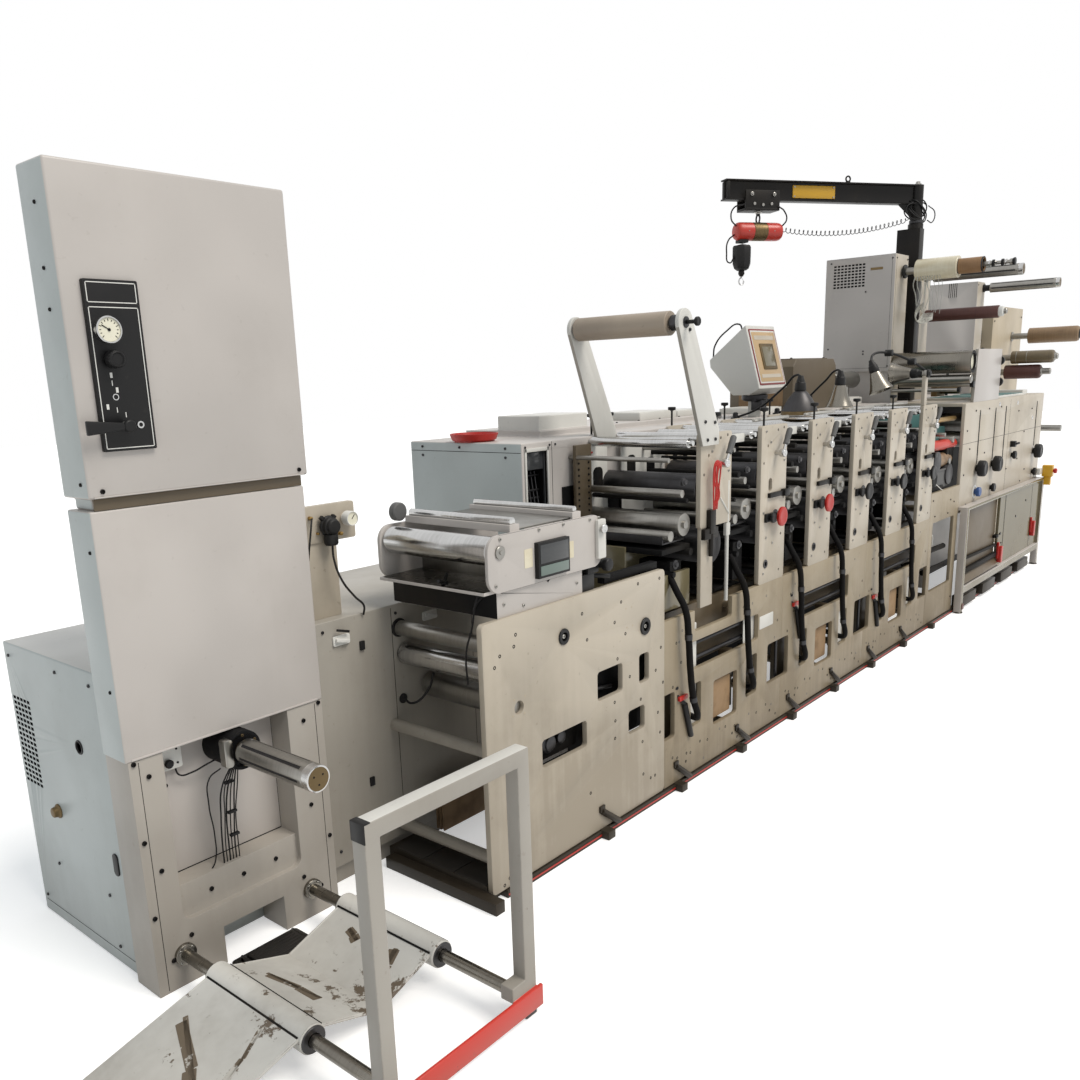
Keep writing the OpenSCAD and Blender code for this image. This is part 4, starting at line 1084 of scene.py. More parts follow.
def gear_station_backs():
    """Gear side plates, slots and dark gaps behind each print station."""
    plates, dark = [], []
    for x in STATION_X[1:]:
        plates.append(plate(x + 20, 466, 1100, x + 230, 479, 1372, 12))
        dark.append(plate(x + 60, 463, 1150, x + 92, 466.5, 1330, 10))
        dark.append(plate(x + 150, 463, 1180, x + 182, 466.5, 1330, 10))
    piece("gear_side_plates", plates, "cream_paint", 1.2)
    piece("gear_side_slots", dark, "inner_black", 0)
    lining = [block(1905, 474, 40, 4860, 479, 1180), block(5415, 474, 660, 7410, 479, 1300)]
    piece("gear_side_lining", lining, "inner_black", 0)
    piece("infeed_lining", [block(1500, 474, 320, 1890, 479, 880)], "taupe_paint", 0)


def gear_back():
    """Doors, grilles and latches on the press's back."""
    high = span("gear_housing")[1]
    y = 1080
    doors, latches, grilles = [], [], []
    x = 1720
    while x + 560 < high.x:
        doors.append(plate(x, y - 2, 130, x + 560, y + 4, 1290, 12))
        latches.append(turned((x + 520, y + 4, 760), BACK, [(0, 34), (6, 34), (8, 28), (8, 10)], 24))
        latches.append(turned((x + 520, y + 4, 260), BACK, [(0, 34), (6, 34), (8, 28), (8, 10)], 24))
        for k in range(7):
            grilles.append(plate(x + 150, y + 3, 190 + 22 * k, x + 410, y + 5.5, 198 + 22 * k, 3))
        x += 600
    piece("back_doors", doors, "light_grey_paint", 1.5)
    piece("back_latches", latches, "black_plastic", 0.5)
    piece("back_grilles", grilles, "inner_black", 0)


class PRESS_OT_gear_side(bpy.types.Operator):
    """Builds the gear side: the low panel, air regulators, long housing, deck, trays and back doors"""

    bl_idname = "press.gear_side"
    bl_label = "Gear side"

    def execute(self, context):
        gear_low_panel()
        gear_regulators()
        gear_housing()
        gear_back()
        return {"FINISHED"}


def infeed_side_plate():
    """The infeed plate with its holes, bushes and the works behind its windows."""
    touch_up(softened("infeed_plate", "cream_paint", 2.0), "panel_grey", lambda c, n: 21 < c.y < 479)
    small = [(980, 795), (955, 765), (1045, 810), (1055, 845), (1415, 745), (1575, 770), (1640, 715),
             (1615, 835),
             (1590, 635), (1665, 550), (1570, 480), (1570, 345), (1735,
                     445), (1835, 530), (1850, 360), (1390, 840),
             (1720, 880), (1860, 875), (1420, 190), (1750, 145), (1573,
                     410), (1745, 276), (1865, 276), (1870, 610),
             (1885, 470), (925, 480), (985, 60), (960, 45), (1800, 112), (1830, 112)]
    piece("infeed_holes", bolt_heads([(x, 1, z) for x, z in small], FRONT, 12, 1.6), "inner_black", 0)
    faint = [(1645, 805), (1680, 805), (1650, 735), (1685, 735), (1038, 640), (1090, 640), (1030, 590),
             (1085, 585)]
    piece("infeed_filled_holes", bolt_heads([(x, 1, z) for x, z in faint], FRONT, 7, 1.4), "beige_paint", 0)
    first, second = (1290, 785), (1765, 715)
    bushes = washers([on(first, 0)], FRONT, 54, 30, 5) + washers([on(second, 0)], FRONT, 64, 36, 5)
    bushes += [rod(on(first, 18), on(first, 2), 32), rod(on(second, 18), on(second, 2), 38)]
    piece("infeed_bushes", bushes, "black_plastic", 0.5)
    piece("infeed_bush_pins", bolt_heads([on(first, 2), on(second, 2)], FRONT, 15, 4), "steel", 0)
    piece("infeed_plug", [rod((1060, 19, 610), (1060, 14, 610), 44)], "steel", 0)
    # dark works seen through the windows
    works = [block(1180, 60, 360, 1420, 90, 480), block(1440, 70, 480, 1900, 90, 640),
             block(1620, 60, 310, 1800, 80, 430)]
    piece("infeed_inner_black", works, "inner_black", 1.0)
    gears = [turned((1260, 60, 415), FRONT, [(0, 70), (10, 70), (12, 50), (20, 50)], 24),
             turned((1325, 60, 418), FRONT, [(0, 44), (14, 44), (16, 30)], 24),
             rod((1480, 50, 540), (1620, 50, 520), 14), rod((1740, 55, 530), (1790, 55, 590), 12)]
    piece("infeed_inner_gears", gears, "dark_steel", 1.0)


def infeed_floor():
    """The rail with its stripe and brackets, and the skid at its end."""
    softened("floor_rail", "black_paint", 1.5)
    piece("rail_red_stripe", [block(968, -9.2, 9, 7300, -7.6, 15)], "red_plastic", 0)
    braces = []
    for i in range(7):
        x = 1470 + PITCH * i
        brace = settle(block(x - 3, -8, 95, x + 26, 0, 120))
        arm = rod((x + 10, -5, 100), (x + 100, -16, 30), 26, 4)
        braces += [brace, arm]
    piece("rail_brackets", braces, "black_paint", 2.0)
    piece("skid_bar", [rod((883, -49.5, 20), (883, 454, 20), 39, 28)], "black_plastic", 1.0)
    pads = [plate(903, 30 + 142 * k, 57, 1064, 168 + 142 * k, 61, 8, "Z") for k in range(3)]
    piece("skid_pads", pads, "rubber", 1.2)
    boards = [plate(1090, 400 + 16 * k, 58, 1330 + 60 * k, 404 + 16 * k, 180 + 26 * k, 4) for k in range(3)]
    piece("leaning_boards", boards, "brown_board", 0.6)


def infeed_rollers():
    """The rollers behind the infeed plate."""
    for node, x, z, d, finish in (("infeed_roller_1", 1012, 808, 52, "steel"),
            ("infeed_roller_2", 1030, 716, 76, "chrome")):
        roll = turned((x, 20, z), BACK, roller(20, (6, 454, 460), d), 48)
        piece(node + "_turned", [roll], finish, 0, node, (node,))
    bearings = []
    for x, z in ((1012, 808), (1030, 716)):
        bearings.append(turned((x, 480, z), FRONT, [(-1, 64), (4, 64), (5, 50), (5, 24)], 32))
    piece("infeed_bearings", bearings, "black_plastic", 0.5)
    back = turned((1130, 22, 585), BACK, roller(30, (6, 443, 455), 92), 48)
    piece("infeed_back_roller", [back], "steel", 0)
    lead = wire([(1010, 476, 560), (1016, 440, 548), (1060, 400, 600), (1075, 392, 650)], 8)
    piece("infeed_lead", [lead, turned((1010, 480, 560), FRONT, [(-1, 34), (4, 34), (6, 20)], 20)],
          "rubber", 0)


def infeed_web_guide():
    """The web guide with its roller, screen, latch and leads."""
    skin = softened("web_guide", "light_grey_paint", 2.0, segments=3)
    touch_up(skin, "black_plastic", lambda c, n: 1156 < c.x < 1313 and c.y < 0.5)
    # the lower left faces are painted black as painted shade
    touch_up(skin, "inner_black", lambda c, n: n.x < -0.9 and c.z < 984)
    touch_up(skin, "lamp_metal", lambda c, n: 14 < c.y < 466 and c.z < 1150 and n.z > 0.9)
    touch_up(skin, "dark_steel", lambda c, n: 14 < c.y < 466 and c.x > 1000 and c.z < 1150 and n.x < -0.9)
    roll = turned(on(GUIDE_ROLLER, 2), BACK, roller(20.8, (16, 460, 476), 88), 56)
    piece("guide_roller_turned", [roll], "chrome", 0, "guide_roller", ("guide_roller",))
    boss = turned(on(GUIDE_ROLLER, 0), FRONT, [(0, 40), (5, 40), (7, 34), (7, 14), (10, 12)], 36)
    screws_ = screws([(1000, 0, 1146), (1180, 0, 1150), (1300, 0, 1150), (1440, 0, 1146), (975, 0, 1010),
            (1490, 0, 1146)], scale=0.8)
    pedestal = screws([(1020, 12, 945), (1380, 12, 945), (1110, 12, 925)], scale=0.8)
    piece("guide_bosses", [boss] + screws_ + pedestal, "steel", 0)
    piece("guide_screen", [block(1165, -17.4, 1046, 1304, -15.5, 1104)], "pane_grey", 0.4)
    piece("guide_screen_keys", [block(1165, -18, 1008, 1304, -15.6, 1038)], "screen_grey", 0.6)
    labels = [plate(1108, -1, 1040, 1146, 0.5, 1098, 3), plate(1322, -1, 1036, 1352, 0.5, 1090, 3)]
    piece("guide_blank_labels", labels, "cream_film", 0)
    piece("guide_latch_block", [plate(1469, -14, 1011, 1512, 0, 1142, 6)], "white_paint", 1.5)
    piece("guide_latch_knob", [knob((1486, -14, 1112), FRONT, 30, 16)], "chrome", 0)
    clamp = [plate(1402, 14, 906, 1480, 80, 962, 6), block(1440, 10, 962, 1500, 60, 986),
             turned((1520, 20, 985), FRONT, [(0, 30), (20, 30), (22, 44), (40, 44), (44, 36)], 24),
             rod((1480, 40, 950), (1560, 10, 936), 16), knob((1548, 30, 978), FRONT, 40, 30)]
    piece("guide_clamp", clamp, "black_plastic", 1.5)
    dial = turned((1023, 470, 1196), FRONT, [(0, 60), (20, 60), (24, 52), (24, 20)], 36)
    piece("guide_back_dial", [dial], "grey_grip", 0.6)
    hub = rod((975, 214, 982), (975, 214, 1002), 22)
    arms = [rod((975, 214, 1000), (975 + dx, 214 + dy, 1014), 11, 12) for dx, dy in ((-52, -26), (46, 34))]
    piece("guide_hand_knob", [hub] + arms, "black_plastic", 1.0)
    leads = [wire([(1000, 60, 982), (980, 90, 940), (1010, 130, 900), (1060, 170, 890), (1100, 210, 870)],
                  6),
             wire([(965, 60, 986), (948, 62, 950), (950, 80, 880), (940, 100, 800), (930, 90, 700)], 6),
             wire([(1230, 6, 985), (1240, 30, 960), (1290, 60, 930), (1380, 70, 915)], 7)]
    piece("guide_leads", leads, "rubber", 0)
    tray = [block(1100, 20, 1158, 1374, 460, 1164), block(1118, 20, 992, 1126, 460, 1090)]
    piece("guide_top_tray", tray, "steel", 0.8)
    rails = [rod((1082, 20, 1186), (1082, 460, 1186), 26, 24),
             rod((1387, 20, 1186), (1387, 460, 1186), 20, 24)]
    piece("guide_top_rollers", rails, "chrome", 0.8)


class PRESS_OT_infeed(bpy.types.Operator):
    """Builds the infeed: its plate, rollers, web guide, screen, floor base and black rail"""

    bl_idname = "press.infeed"
    bl_label = "Infeed and web guide"

    def execute(self, context):
        infeed_side_plate()
        infeed_floor()
        infeed_rollers()
        infeed_web_guide()
        return {"FINISHED"}


# ---- Print stations ----


class PRESS_OT_idler_arms(bpy.types.Operator):
    """Builds the tall leaning arms at the first station and the roller between their heads"""

    bl_idname = "press.idler_arms"
    bl_label = "Tall idler arms"

    def execute(self, context):
        arms = softened("idler_arms", "white_paint", 3.0, segments=3)
        # the arms' left faces take the darker panel grey as painted shade
        touch_up(arms, "panel_grey", lambda c, n: n.x < -0.7 and c.z < 1740)
        roll = turned(on(ARM_HEAD, 2), BACK, [(0, 20.8), (44, 20.8), (44, 82), (47, 86), (452, 86),
                (455, 82), (456, 20.8)], 56)
        piece("arm_roller_turned", [roll], "buff_cover", 0, "arm_roller", ("arm_roller",))
        heads = screws([(2033, -16, 1750), (2168, -16, 1352), (2226, -16, 1352), (2150, -16, 1420),
                        (2222, -16, 1415)])
        caps = [turned(on(ARM_HEAD, y), way, [(0, 40), (4, 38), (5, 20), (3, 16)], 28) for y,
                way in ((-16, FRONT), (480, BACK))]
        piece("arm_screws", heads + caps, "dark_steel", 0)
        hub = turned(on(ARM_HEAD, 4), BACK, [(0, 52), (8, 56), (34, 56), (40, 44), (42, 30)], 24)
        piece("arm_roller_hub", [hub], "dark_steel", 0.5, "arm_roller")
        grip = [rod(on(ARM_HEAD, -16), on(ARM_HEAD, -50), 14), knob(on(ARM_HEAD, -50), FRONT, 32, 20, 20)]
        piece("arm_roller_knob", grip, "black_plastic", 0.6)
        return {"FINISHED"}


def base_hoses():
    """Ink hoses that loop out over the base frames, with their clamps."""
    made, clamps = [], []
    shape = ((0, 45, 860), (0, 10, 800), (6, -26, 730), (14, -36, 620), (30, -36, 480), (55, -36, 360),
             (90, -34, 285), (118, -8, 262), (134, 40, 262), (140, 90, 270))
    for start in BASE_X:
        for x in (start + 100, start + 570):
            made.append(wire([(x + a, b, c) for a, b, c in shape], 26, sides=4))
            clamps += [rod((x + 13.4, -36, 634), (x + 14.6, -36, 612), 30, 20),
                       rod((x + 51, -36, 372), (x + 56, -36, 352), 30, 20)]
    piece("ink_hose_runs", made, "hose_rubber", 0, replaces=("ink_hoses",))
    piece("ink_hose_clamps", clamps, "dark_steel", 0.8)


class PRESS_OT_base_frames(bpy.types.Operator):
    """Builds the base frames with their windows, inner works, latches and ink hoses"""

    bl_idname = "press.base_frames"
    bl_label = "Base frames"

    def execute(self, context):
        for k in range(3):
            # base frames in cream darkened as painted shade
            softened("base_frame_%d" % (k + 1), "shaded_cream", 2.0)
        holes, filled, inner, boxes, rods = [], [], [], [], []
        for x in BASE_X:
            for dx, z in ((60, 140), (95, 128), (165, 125), (195, 118), (270, 142), (330, 130), (430, 146),
                          (480, 140),
                          (560, 120), (690, 135), (760, 120), (850,
                                  132), (905, 118), (950, 60), (300, 60), (585, 62),
                          (85, 600), (105, 600), (128, 640), (620,
                                  632), (650, 634), (700, 632), (830, 640), (920, 430),
                          (945, 505), (120, 515), (60, 430)):
                (holes if (dx + z) % 3 else filled).append((x + dx, 1, z))
            for dx in (160, 540, 890):
                holes.append((x + dx, 0.5, 92))
            inner += [block(x + 80, 60, 170, x + 360, 90, 420), block(x + 590, 60, 180, x + 640, 100, 440),
                      block(x + 150, 90, 440, x + 960, 120,
                            690), block(x + 760, 70, 180, x + 940, 100, 420)]
            boxes.append(plate(x + 385, 26, 190, x + 562, 120, 352, 10))
            rods += [rod((x + 200, 40, z), (x + 760, 40, z), 16, 12) for z in (486, 548)]
            rods += [rod((x + dx, 40, 110), (x + dx, 40, 430), 14, 12) for dx in (30, 700, 900)]
            rods.append(block(x + 655, 30, 300, x + 750, 44, 312))
        piece("base_holes", bolt_heads(holes, FRONT, 12, 1.4), "inner_black", 0)
        piece("base_filled_holes", bolt_heads(filled, FRONT, 11, 1.4), "grey_grip", 0)
        piece("base_inner_panels", inner, "taupe_paint", 1.0)
        piece("base_gear_boxes", boxes, "brown_board", 2.0)
        piece("base_inner_rods", rods, "dark_steel", 0.8)
        bright = [plate(2665, -1, 498, 2795, 3, 556, 6), plate(2560, 22, 400, 2660, 26, 600, 8),
                  plate(2100, 24, 180, 2170, 28, 640, 8),
                  plate(3560, 22, 220, 3640, 26, 420, 8), plate(4560, 22, 220, 4640, 26, 440, 8)]
        piece("base_bright_plates", bright, "white_paint", 1.0)
        latches, red = [], []
        for x, z in ((1992, 385), (2985, 560), (3975, 400)):
            latches += [rod((x - 10, 12, z + 10), (x + 34, -10, z - 40), 18, 12),
                        rod((x + 34, -10, z - 40), (x + 90, -6, z - 190), 24, 12),
                        knob((x - 6, 10, z + 22), UP, 30, 16, 20)]
            red.append(plate(x - 4, -12, z - 22, x + 58, -2, z - 4, 4))
        piece("base_latches", latches, "black_plastic", 1.0)
        piece("base_red_latches", red, "red_plastic", 1.0)
        base_hoses()
        return {"FINISHED"}


def station_plate_fittings():
    """Holes, bars, knobs and bushes on the station plates."""
    holes, dull, bars, knobs_red, knobs_dark, stems, bushes, washed = [], [], [], [], [], [], [], []
    for i, x in enumerate(STATION_X):
        spots = [(40, 1352), (150, 1352), (84, 1305), (205, 1360), (215, 1220), (25, 1220)]
        if i:
            spots += [(30, 1010), (200, 900), (60, 900), (190, 740), (40, 745), (216, 1060), (120, 870)]
        for k, (dx, z) in enumerate(spots):
            (holes if k % 2 else dull).append((x + dx, 1, z))
        if i:
            bars.append(block(x + 66, -14, 1070, x + 236, 12, 1090))
            bars.append(block(x + 190, -22, 1066, x + 236, 0, 1096))
            bushes.append((x + 60, 0, 785))
            turning = knob((x + 140, -20, 985), FRONT, 84, 22)
            (knobs_red if i in (1, 2) else knobs_dark).append(turning)
            stems += [rod((x + 140, 10, 985), (x + 140, -22, 985), 30),
                      block(x + 40, -12, 968, x + 112, 6, 1004),
                      knob((x + 74, -12, 986), FRONT, 44, 20, 20)]
            washed.append((x + 140, 0, 985))
    piece("station_holes", bolt_heads(holes, FRONT, 11, 1.6), "inner_black", 0)
    piece("station_screws", bolt_heads(dull, FRONT, 12, 4), "steel", 0)
    piece("station_bars", bars, "black_paint", 1.5)
    piece("station_bushes", washers(bushes, FRONT, 38, 22, 3) + washers(washed, FRONT, 58, 30, 4),
          "dark_steel", 0.3)
    piece("station_red_knobs", knobs_red, "red_plastic", 0)
    piece("station_dark_knobs", knobs_dark, "black_plastic", 0)
    piece("station_knob_stems", stems, "black_plastic", 1.5)


def station_levers():
    """The pressure lever of each station."""
    for i, x in enumerate(STATION_X):
        node = "pressure_lever_%d" % (i + 1)
        px = x + 130
        hub = turned((px, 20, LEVER_HEIGHT), FRONT, [(0, 18), (2, 20), (38, 20), (42, 20), (43, 32),
                (46, 34), (62, 34), (66, 30), (66, 16), (64, 12)], 32)
        lean = math.radians(32)
        tip = (px + 60 * math.sin(lean), -34, LEVER_HEIGHT + 60 * math.cos(lean))
        arm = rod((px, -34, LEVER_HEIGHT), tip, 13, 20)
        piece(node + "_pivot", [hub, arm], "chrome", 0.4, node, replaces=(node,))
        start = (px + 40 * math.sin(lean), -34, LEVER_HEIGHT + 40 * math.cos(lean))
        grip = turned(start, (math.sin(lean), 0, math.cos(lean)),
                      [(0, 18), (3, 24), (20, 22), (40, 25.4), (66, 25.4), (74, 23), (78, 14)], 28)
        piece(node + "_grip", [grip], "grey_grip", 0, node)


def station_rollers():
    """Rollers, idlers and thumb screws of the stations."""
    rolls, plated, bright = [], [], []
    for x in STATION_X:
        for dx, z, d in ((60, 1165, 110), (-70, 1040, 90), (140, 930, 150)):
            outline = roller(30, (8, 450, 458), d, 4)
            (rolls if dx > 0 else plated).append(turned((x + dx, 21, z), BACK, outline, 40))
    piece("print_rollers_turned", rolls, "dark_steel", 0, replaces=("print_rollers",))
    piece("plate_rollers_turned", plated, "steel", 0)
    for x in STATION_X:
        bright.append(turned((x + 150, 21, 1345), BACK, [(0, 48), (3, 50), (455, 50), (458, 48)], 36))
        bright.append(turned((x - 55, 1, 1345), BACK, roller(20, (18, 462, 478), 38, 2, 2), 32))
    piece("top_idlers_turned", bright, "chrome", 0, replaces=("top_idlers",))
    covers = []
    for x in STATION_X[:-1]:
        covers.append(block(x + 240, 40, 1318, x + 420, 60, 1352))
        covers.append(block(x + 232, 180, 1332, x + 430, 330, 1340))
    piece("station_cross_plates", covers, "white_paint", 1.5)
    screws_at = [(2280, 10)] + [(x + 34, 10) for x in STATION_X[1:5]]
    parts = []
    for x, y in screws_at:
        parts.append(turned((x, y, 1375), UP, thumb_screw(57), 24))
    for x in STATION_X + [STATION_X[0] - 130]:
        parts.append(turned((x + 170, 540, 1365), UP, thumb_screw(67), 24))
    piece("thumb_screws_turned", parts, "black_plastic", 0, replaces=("thumb_screws",))
    racks = [rod((x - 20, 30, 1400), (x + 300, 30, 1400), 14, 16) for x in STATION_X[1:5]]
    piece("station_top_rods", racks, "aluminium", 0.5)


def station_works():
    """Dark bars, doctor blades and trays that show between the plates."""
    black, steel, trays, hand = [], [], [], []
    dark_bars = ((-120, 1270, 22), (-150, 1190, 26), (-60, 1130, 18), (-30, 930, 30), (-150, 860, 24),
                 (-40, 1240, 16), (-180, 1090, 16))
    for i, x in enumerate(STATION_X):
        for dx, z, d in dark_bars if i else dark_bars[2:5]:
            black.append(rod((x + dx, 22, z), (x + dx, 478, z), d, 16))
        steel += [rod((x + dx, 22, z), (x + dx, 478, z), d, 16) for dx, z,
                  d in ((-190, 1292, 18), (-95, 1160, 30), (-175, 1010, 40))]
        black += [block(x - 210, 40, 940, x - 10, 470, 960), block(x - 120, 60, 740, x - 40, 440, 900),
                  block(x - 200, 100, 700, x - 20, 430, 715)]
        if i:
            black.append(block(x - 200, 140, 1100, x - 20, 152, 1130))
        trays.append(settle(block(x - 190, 46, 978, x - 40, 460, 984)))
        trays.append(block(x - 196, 46, 978, x - 190, 460, 1010))
        hand += [turned((x - 95, 22, 1205), FRONT, [(0, 30), (8, 30), (9, 22), (16, 20)], 20),
                 turned((x - 150, 22, 900), FRONT, [(0, 36), (6, 36), (7, 20), (14, 18)], 20)]
    piece("station_black_bars", black, "inner_black", 0.8)
    piece("station_steel_bars", steel, "steel", 0.5)
    piece("station_ink_trays", trays, "dark_steel", 0.8)
    piece("station_bar_ends", hand, "dark_steel", 0.5)


def station_first_station():
    """Red strap on the first lever pivot, its bracket and the thin white rod beside it."""
    strands = []
    for k in range(7):
        x = 2200 + 7 * k
        bend = 10 * math.sin(2.3 * k)
        strands.append(wire([(2262, -25, 1262 - k), (x + 12, -28, 1266 - 3 * k), (x + bend, -26, 1216),
                             (x - bend + 4, -25, 1150 - 4 * k), (x + 8 - 3 * k, -24,
                                     1084 + 12 * (k % 3))], 6))
    piece("red_strap", strands, "red_plastic", 0)
    low = [block(2196, -20, 990, 2236, 4, 1082), block(2160, -16, 970, 2262, 10, 1012),
           rod((2216, -10, 1010), (2216, -10, 900), 20)]
    piece("strap_bracket", low, "black_paint", 2.0)
    white = [rod((2370, 6, 690), (2370, 6, 1180), 16, 16), rod((2300, 0, 1120), (2370, 0, 1050), 9, 12),
             block(2356, 0, 960, 2386, 14, 1010)]
    piece("station_white_rod", white, "white_paint", 0.8)
    deep = [block(1910, 40, 720, 2140, 60, 860), block(1930, 200, 700, 2140, 460, 960)]
    piece("first_station_panel", deep, "olive_pane", 1.0)
    piece("first_station_ledge", [block(1560, 30, 905, 1890, 60, 930)], "inner_black", 1.0)
    piece("first_station_dark_post", [plate(1950, 440, 960, 2050, 456, 1340, 6)], "taupe_paint", 1.0)
    pins = [(x, 440, 980 + 24 * k) for x in (2030, 1965) for k in range(14)]
    piece("first_station_pins", bolt_heads(pins, FRONT, 9, 3), "inner_black", 0)
    sheetmetal = [plate(2060, 462, 970, 2190, 472, 1330, 8), plate(2290, 460, 1010, 2620, 466, 1310, 20)]
    piece("first_station_back_plates", sheetmetal, "white_paint", 1.0)
    openings = [plate(x, 457, z0, x + 60, 460.5, z1, 22) for x, z0,
                z1 in ((2330, 1120, 1270), (2480, 1090, 1250), (2090, 1130, 1240))]
    piece("first_station_back_slots", openings, "inner_black", 0)


class PRESS_OT_stations(bpy.types.Operator):
    """Builds the six print stations: plates, levers, rollers, idlers, knobs and the works between"""

    bl_idname = "press.stations"
    bl_label = "Print stations"

    def execute(self, context):
        softened("station_plates", "cream_paint", 2.0)
        station_plate_fittings()
        station_levers()
        station_rollers()
        station_works()
        station_first_station()
        return {"FINISHED"}


def die_works():
    """What shows in the opening: rods, the red rail, the wrapped roll, its guard and dark works."""
    piece("die_brass_rods", [rod((4902, 60, 1270), (5398, 60, 1266), 30, 20)], "brass", 0.5)
    rail = [rod((4902, 62, 1118), (5398, 62, 1110), 62, 32)]
    piece("die_red_rail", rail, "red_paint", 1.0)
    wrapped = turned((5090, 74, 1018), RIGHT, [(0, 60), (10, 84), (60, 92), (110, 88), (160, 96), (220, 84),
            (270, 62), (285, 52)], 24)
    piece("die_wrapped_roll", [wrapped], "kraft", 0)
    end = turned((5375, 74, 1018), RIGHT, [(0, 48), (12, 40), (20, 14)], 24)
    piece("die_roll_end", [end], "brown_wrap", 0.5)
    guard = settle(block(4985, 30, 856, 5225, 38, 965))
    for vertex in guard.data.vertices:
        if (vertex.co - ZERO).z / MM < 900:
            vertex.co.x += 35 * MM
    rail = block(4975, 26, 960, 5240, 40, 970)
    piece("die_guard", [guard, rail], "grey_grip", 1.0)
    dark = [block(4880, 300, 850, 5400, 320, 1170), block(4884, 60, 850, 4900, 300, 1040),
            block(5388, 200, 850, 5398, 300, 1170),
            knob((4900, 22, 930), FRONT, 96, 26), block(5230, 40, 990, 5370, 110,
                    1090), block(4950, 24, 846, 5150, 110, 872)]
    dark += [rod((5290 + 30 * k, 36, 880), (5286 + 30 * k, 44, 1080), 14, 12) for k in range(3)]
    piece("die_dark_works", dark, "inner_black", 1.5)
    teal = [plate(4930, 210, 1196, 5340, 290, 1330, 12), plate(5130, 110, 1060, 5396, 170, 1216, 22)]
    piece("die_teal_works", teal, "teal_paint", 1.5)
    steel = [rod((4950, 25, 1215), (4950, 470, 1215), 34, 20),
             rod((5300, 25, 1140), (5300, 470, 1140), 42, 20),
             rod((5120, 22, 1180), (5120, 300, 1180), 24, 16), rod((5240, 20, 1010), (5240, 60, 1010), 40,
                     20)]
    piece("die_steel_bars", steel, "steel", 0.6)
    thread = wire([(4936, 14, 905), (4990, 6, 880), (5060, 4, 852), (5120, 8, 838)], 5)
    piece("die_white_lead", [thread], "white_plastic", 0)


def die_cabinet():
    """What shows through the low window: a beige pump box, dark rods and a pale bracket."""
    pump = [plate(4990, 90, 395, 5090, 170, 545, 16), rod((5040, 80, 470), (5040, 92, 470), 70, 24)]
    piece("die_pump_box", pump, "beige_paint", 2.0)
    loop = wire([(5060, 80, 552), (5110, 60, 560), (5128, 60, 500), (5110, 64, 430), (5070, 78, 400)], 7)
    piece("die_pump_hose", [loop], "white_plastic", 0)
    dark = [rod((4940, 50, z), (5320, 50, z - 10), 34, 16) for z in (470, 345)]
    dark += [block(4935, 110, 240, 4990, 180, 400), block(5020, 60, 240, 5060, 100, 330),
             block(5120, 300, 240, 5320, 320, 640)]
    piece("die_inner_rods", dark, "inner_black", 1.5)
    pale = [block(5005, 56, 236, 5022, 100, 420), plate(5180, 340, 250, 5310, 350, 600, 8)]
    piece("die_pale_brackets", pale, "light_grey_paint", 1.0)


class PRESS_OT_die_section(bpy.types.Operator):
    """Builds the die section: its frame, cross bars and the works in its opening"""

    bl_idname = "press.die_section"
    bl_label = "Die section"

    def execute(self, context):
        # die frame in cream darkened as painted shade
        skin = softened("die_frame", "shaded_cream", 2.0)
        touch_up(skin, "dark_steel", lambda c, n: 1119 < c.z < 1181 and 119 < c.y < 181)
        touch_up(skin, "teal_paint", lambda c, n: 1179 < c.z < 1331 and c.y > 385)
        rollers = ((5005, 1020), (5245, 930))
        touch_up(skin, "dark_steel", lambda c, n: 15 < c.y < 485
                 and any(near(c, roller, 67) for roller in rollers))
        front = screws([(5240, 0, 770), (5310, 0, 750), (4950, 0, 700), (4905, 0, 800), (5200, 0, 690),
                        (5370, 0, 120)],
                       scale=0.8)
        piece("die_screws", front, "dark_steel", 0)
        die_works()
        die_cabinet()
        return {"FINISHED"}


def finishing_top():
    """Trays, strips and rollers on and behind the finishing panel."""
    trays = [plate(5960, 30, 1355, 7000, 420, 1372, 8, "Z"), plate(7030, 60, 1355, 7160, 300, 1390, 8, "Z")]
    piece("panel_top_trays", trays, "white_paint", 1.2)
    strips = [block(x, 34, 1371, x + w, 416, 1375) for x, w in ((6010, 130), (6230, 170), (6520, 90),
            (6700, 210))]
    piece("panel_teal_strips", strips, "teal_paint", 1.0)
    ends = [turned((x, 20, z), FRONT, [(-1, 40), (14, 40), (16, 34), (22, 30), (24, 12)], 28) for x,
            z in ((6190, 1318), (6660, 1310), (7120, 1180))]
    piece("panel_shaft_ends", ends, "chrome", 0)
    rolls = [turned((x, 22, z), BACK, roller(24, (6, 447, 456), d, 3, 3), 40)
             for x, z, d in ((5560, 1120, 90), (5850, 1210, 110), (6240, 1110, 90), (6560, 1180, 120),
                             (6960, 1120, 90), (7260, 1200, 110))]
    piece("panel_inner_rollers", rolls, "steel", 0)


def finishing_stop_button():
    """The yellow stop box at the end of the stand."""
    box = [plate(7384, -118, 706, 7442, -44, 796, 8), plate(7394, -106, 640, 7430, -56, 708, 8)]
    piece("stop_box", box, "yellow_paint", 2.0)
    button = turned((7412, -118, 752), FRONT, [(0, 24), (8, 24), (9, 40), (16, 42), (24, 38), (28, 26)], 32)
    piece("stop_button", [button], "red_plastic", 0)
    piece("stop_bracket", [plate(7300, -48, 726, 7392, -4, 776, 6)], "white_paint", 1.5)


